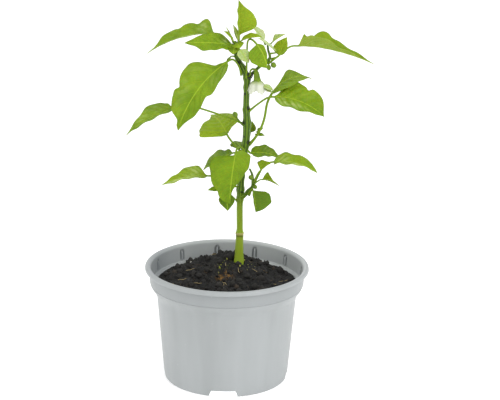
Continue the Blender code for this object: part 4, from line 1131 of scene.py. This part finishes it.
# %% Flower shapes
PEDICEL = [(14.4, 20.5, 259.0, 1.0), (17.4, 17.5, 262.6, 0.75), (17.4, 17.4, 265.4, 0.7), (19.3, 17, 267.2, 0.8),
           (21.8, 17, 266.2, 1.3), (22.3, 17, 264.4, 2.0), (22.9, 17, 260.0, 2.7), (23.2, 17, 257.2, 3.1),
           (23.25, 17, 256.2, 3.2)]
path, far = smooth_path(PEDICEL, 70)
k = 40
a = np.arange(k) * 2 * np.pi / k
flare = np.clip((far - far[-1] + 2.0) / 2.0, 0, 1)[:, None]
radius = path[:, 3][:, None] * (1 + 0.04 * np.cos(5 * a)) + 0.5 * flare * np.clip(np.cos(5 * a), 0, 1)
radius = radius * np.where(np.arange(len(path)) >= len(path) - 2, 0.85, 1)[:, None]
calyx = skin("flower_stalk_and_cup", carry(path[:, :3], radius, k), cup_finish)
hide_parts("flower_calyx")

tx, ty, tz = 23.3, 17.0, 257.4
k = 120
a = np.arange(k) * 2 * np.pi / k
drop = np.concatenate([np.linspace(0, 1, 30), np.linspace(1, 0.06, 26)])[:, None]
inner = (np.arange(56) >= 30)[:, None]
bell = np.interp(drop, [0, 0.12, 0.35, 0.65, 1.0], [2.6, 4.6, 6.2, 7.1, 8.1])
lobe = (1 - np.abs((5 * (a + 0.45) / (2 * np.pi)) % 1 - 0.5) * 2)[None, :] ** 0.85
jag = 0.10 * np.sin(17 * a + 1) + 0.07 * np.sin(29 * a)
reach = 10.6 * (0.64 + 0.36 * lobe + 0.45 * jag)
depth = drop * (8.2 * (1 - drop ** 3) + reach * drop ** 3)
bell = bell * (1 - 0.07 * np.cos(5 * (a + 0.45))[None, :] * drop) * (1 + 0.05 * jag * drop) - 0.28 * inner
rings = np.stack([tx + bell * np.cos(a), ty + bell * np.sin(a), tz - depth + 0 * a], -1)
stored = {"drop": drop + 0 * a, "seam": (1 - lobe) + 0 * drop}
petals = skin("flower_bell", rings, petal_finish, numbers=stored)
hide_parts("flower_petals")

path, _ = smooth_path([(tx, ty, tz - 1.0, 0.9), (tx, ty, tz - 3.0, 1.3), (tx, ty, tz - 5, 0.6),
                       (tx, ty, tz - 8, 0.5), (tx, ty, tz - 8.6, 0.8), (tx, ty, tz - 9.2, 0.3)], 30)
pistil = skin("flower_pistil_fine", carry(path[:, :3], path[:, 3], 16), cup_finish)
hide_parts("flower_pistil")
print("flower faces:", sum(len(p.data.polygons) for p in (calyx, petals, pistil)))

# %% Scar ring
# Where an older flower dropped, its stalk has dried to a small black ring in the fork. It is a closed loop,
# so its last ring meets its first inside the stem's own skin, out of sight
turn = np.radians(np.linspace(-150, 175, 40))
loop = np.stack([16.9 + 2.1 * np.cos(turn), 17.6 + 0 * turn, 261.4 + 2.2 * np.sin(turn)], -1)
scar_finish = finish("scar_black",
                     lambda f: tint((0.010, 0.012, 0.008), (0.050, 0.060, 0.022),
                                    rise(noise(f, 0.0012, 3), 0.45, 0.7)),
                     lambda f: 0.45 + 0.2 * noise(f, 0.001, 2), lambda f: noise(f, 0.0006, 3), 0.0002, 0.8)
scar = skin("dry_scar_ring", carry(loop, 0.75 + 0.2 * np.sin(3 * turn), 14), scar_finish)
print("scar faces:", len(scar.data.polygons))

# %% Buds
# Each bud: its base, (bearing, angle up), length and half-width
BUDS = {
    "bud_right": ((35.6, 16.6, 272.2), (300, -20), 5.5, 2.2),
    "bud_right_low": ((32.6, 17.0, 270.6), (280, -60), 4.5, 1.8),
    "bud_shoot_front": ((19.9, 12.0, 173.4), (250, 35), 5.5, 2.0),
    "bud_shoot_side": ((21.8, 12.3, 166.6), (300, -5), 5.0, 1.8),
    "bud_left": ((6.2, 16.9, 225.8), (190, 65), 5.0, 2.2),
}
BUD_ROOTS = {"bud_right": (32.5, 20, 273.5), "bud_right_low": (29.5, 20, 271.8), "bud_shoot_front": (21, 14.5, 171.5),
             "bud_shoot_side": (20.6, 15, 165.6), "bud_left": (7.4, 17.1, 223.6)}
for name, (at, (bearing, up), long, thick) in BUDS.items():
    heading = direction(bearing, up)
    at = np.array(at, float)
    rows = [(*BUD_ROOTS[name], 0.6), (*(at - heading * 0.6), 0.7), (*(at + heading * 0.2 * long), 0.92 * thick),
            (*(at + heading * 0.5 * long), thick), (*(at + heading * 0.82 * long), 0.62 * thick),
            (*(at + heading * long), 0.12 * thick)]
    path, far = smooth_path(rows, 34)
    a = np.arange(24) * 2 * np.pi / 24
    rings = carry(path[:, :3], np.maximum(path[:, 3], 0.1)[:, None] * (1 + 0.05 * np.cos(5 * a)), 24)
    piece = skin(name + "_fine", rings, cup_finish)
    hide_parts(name)
print("buds:", len(BUDS))
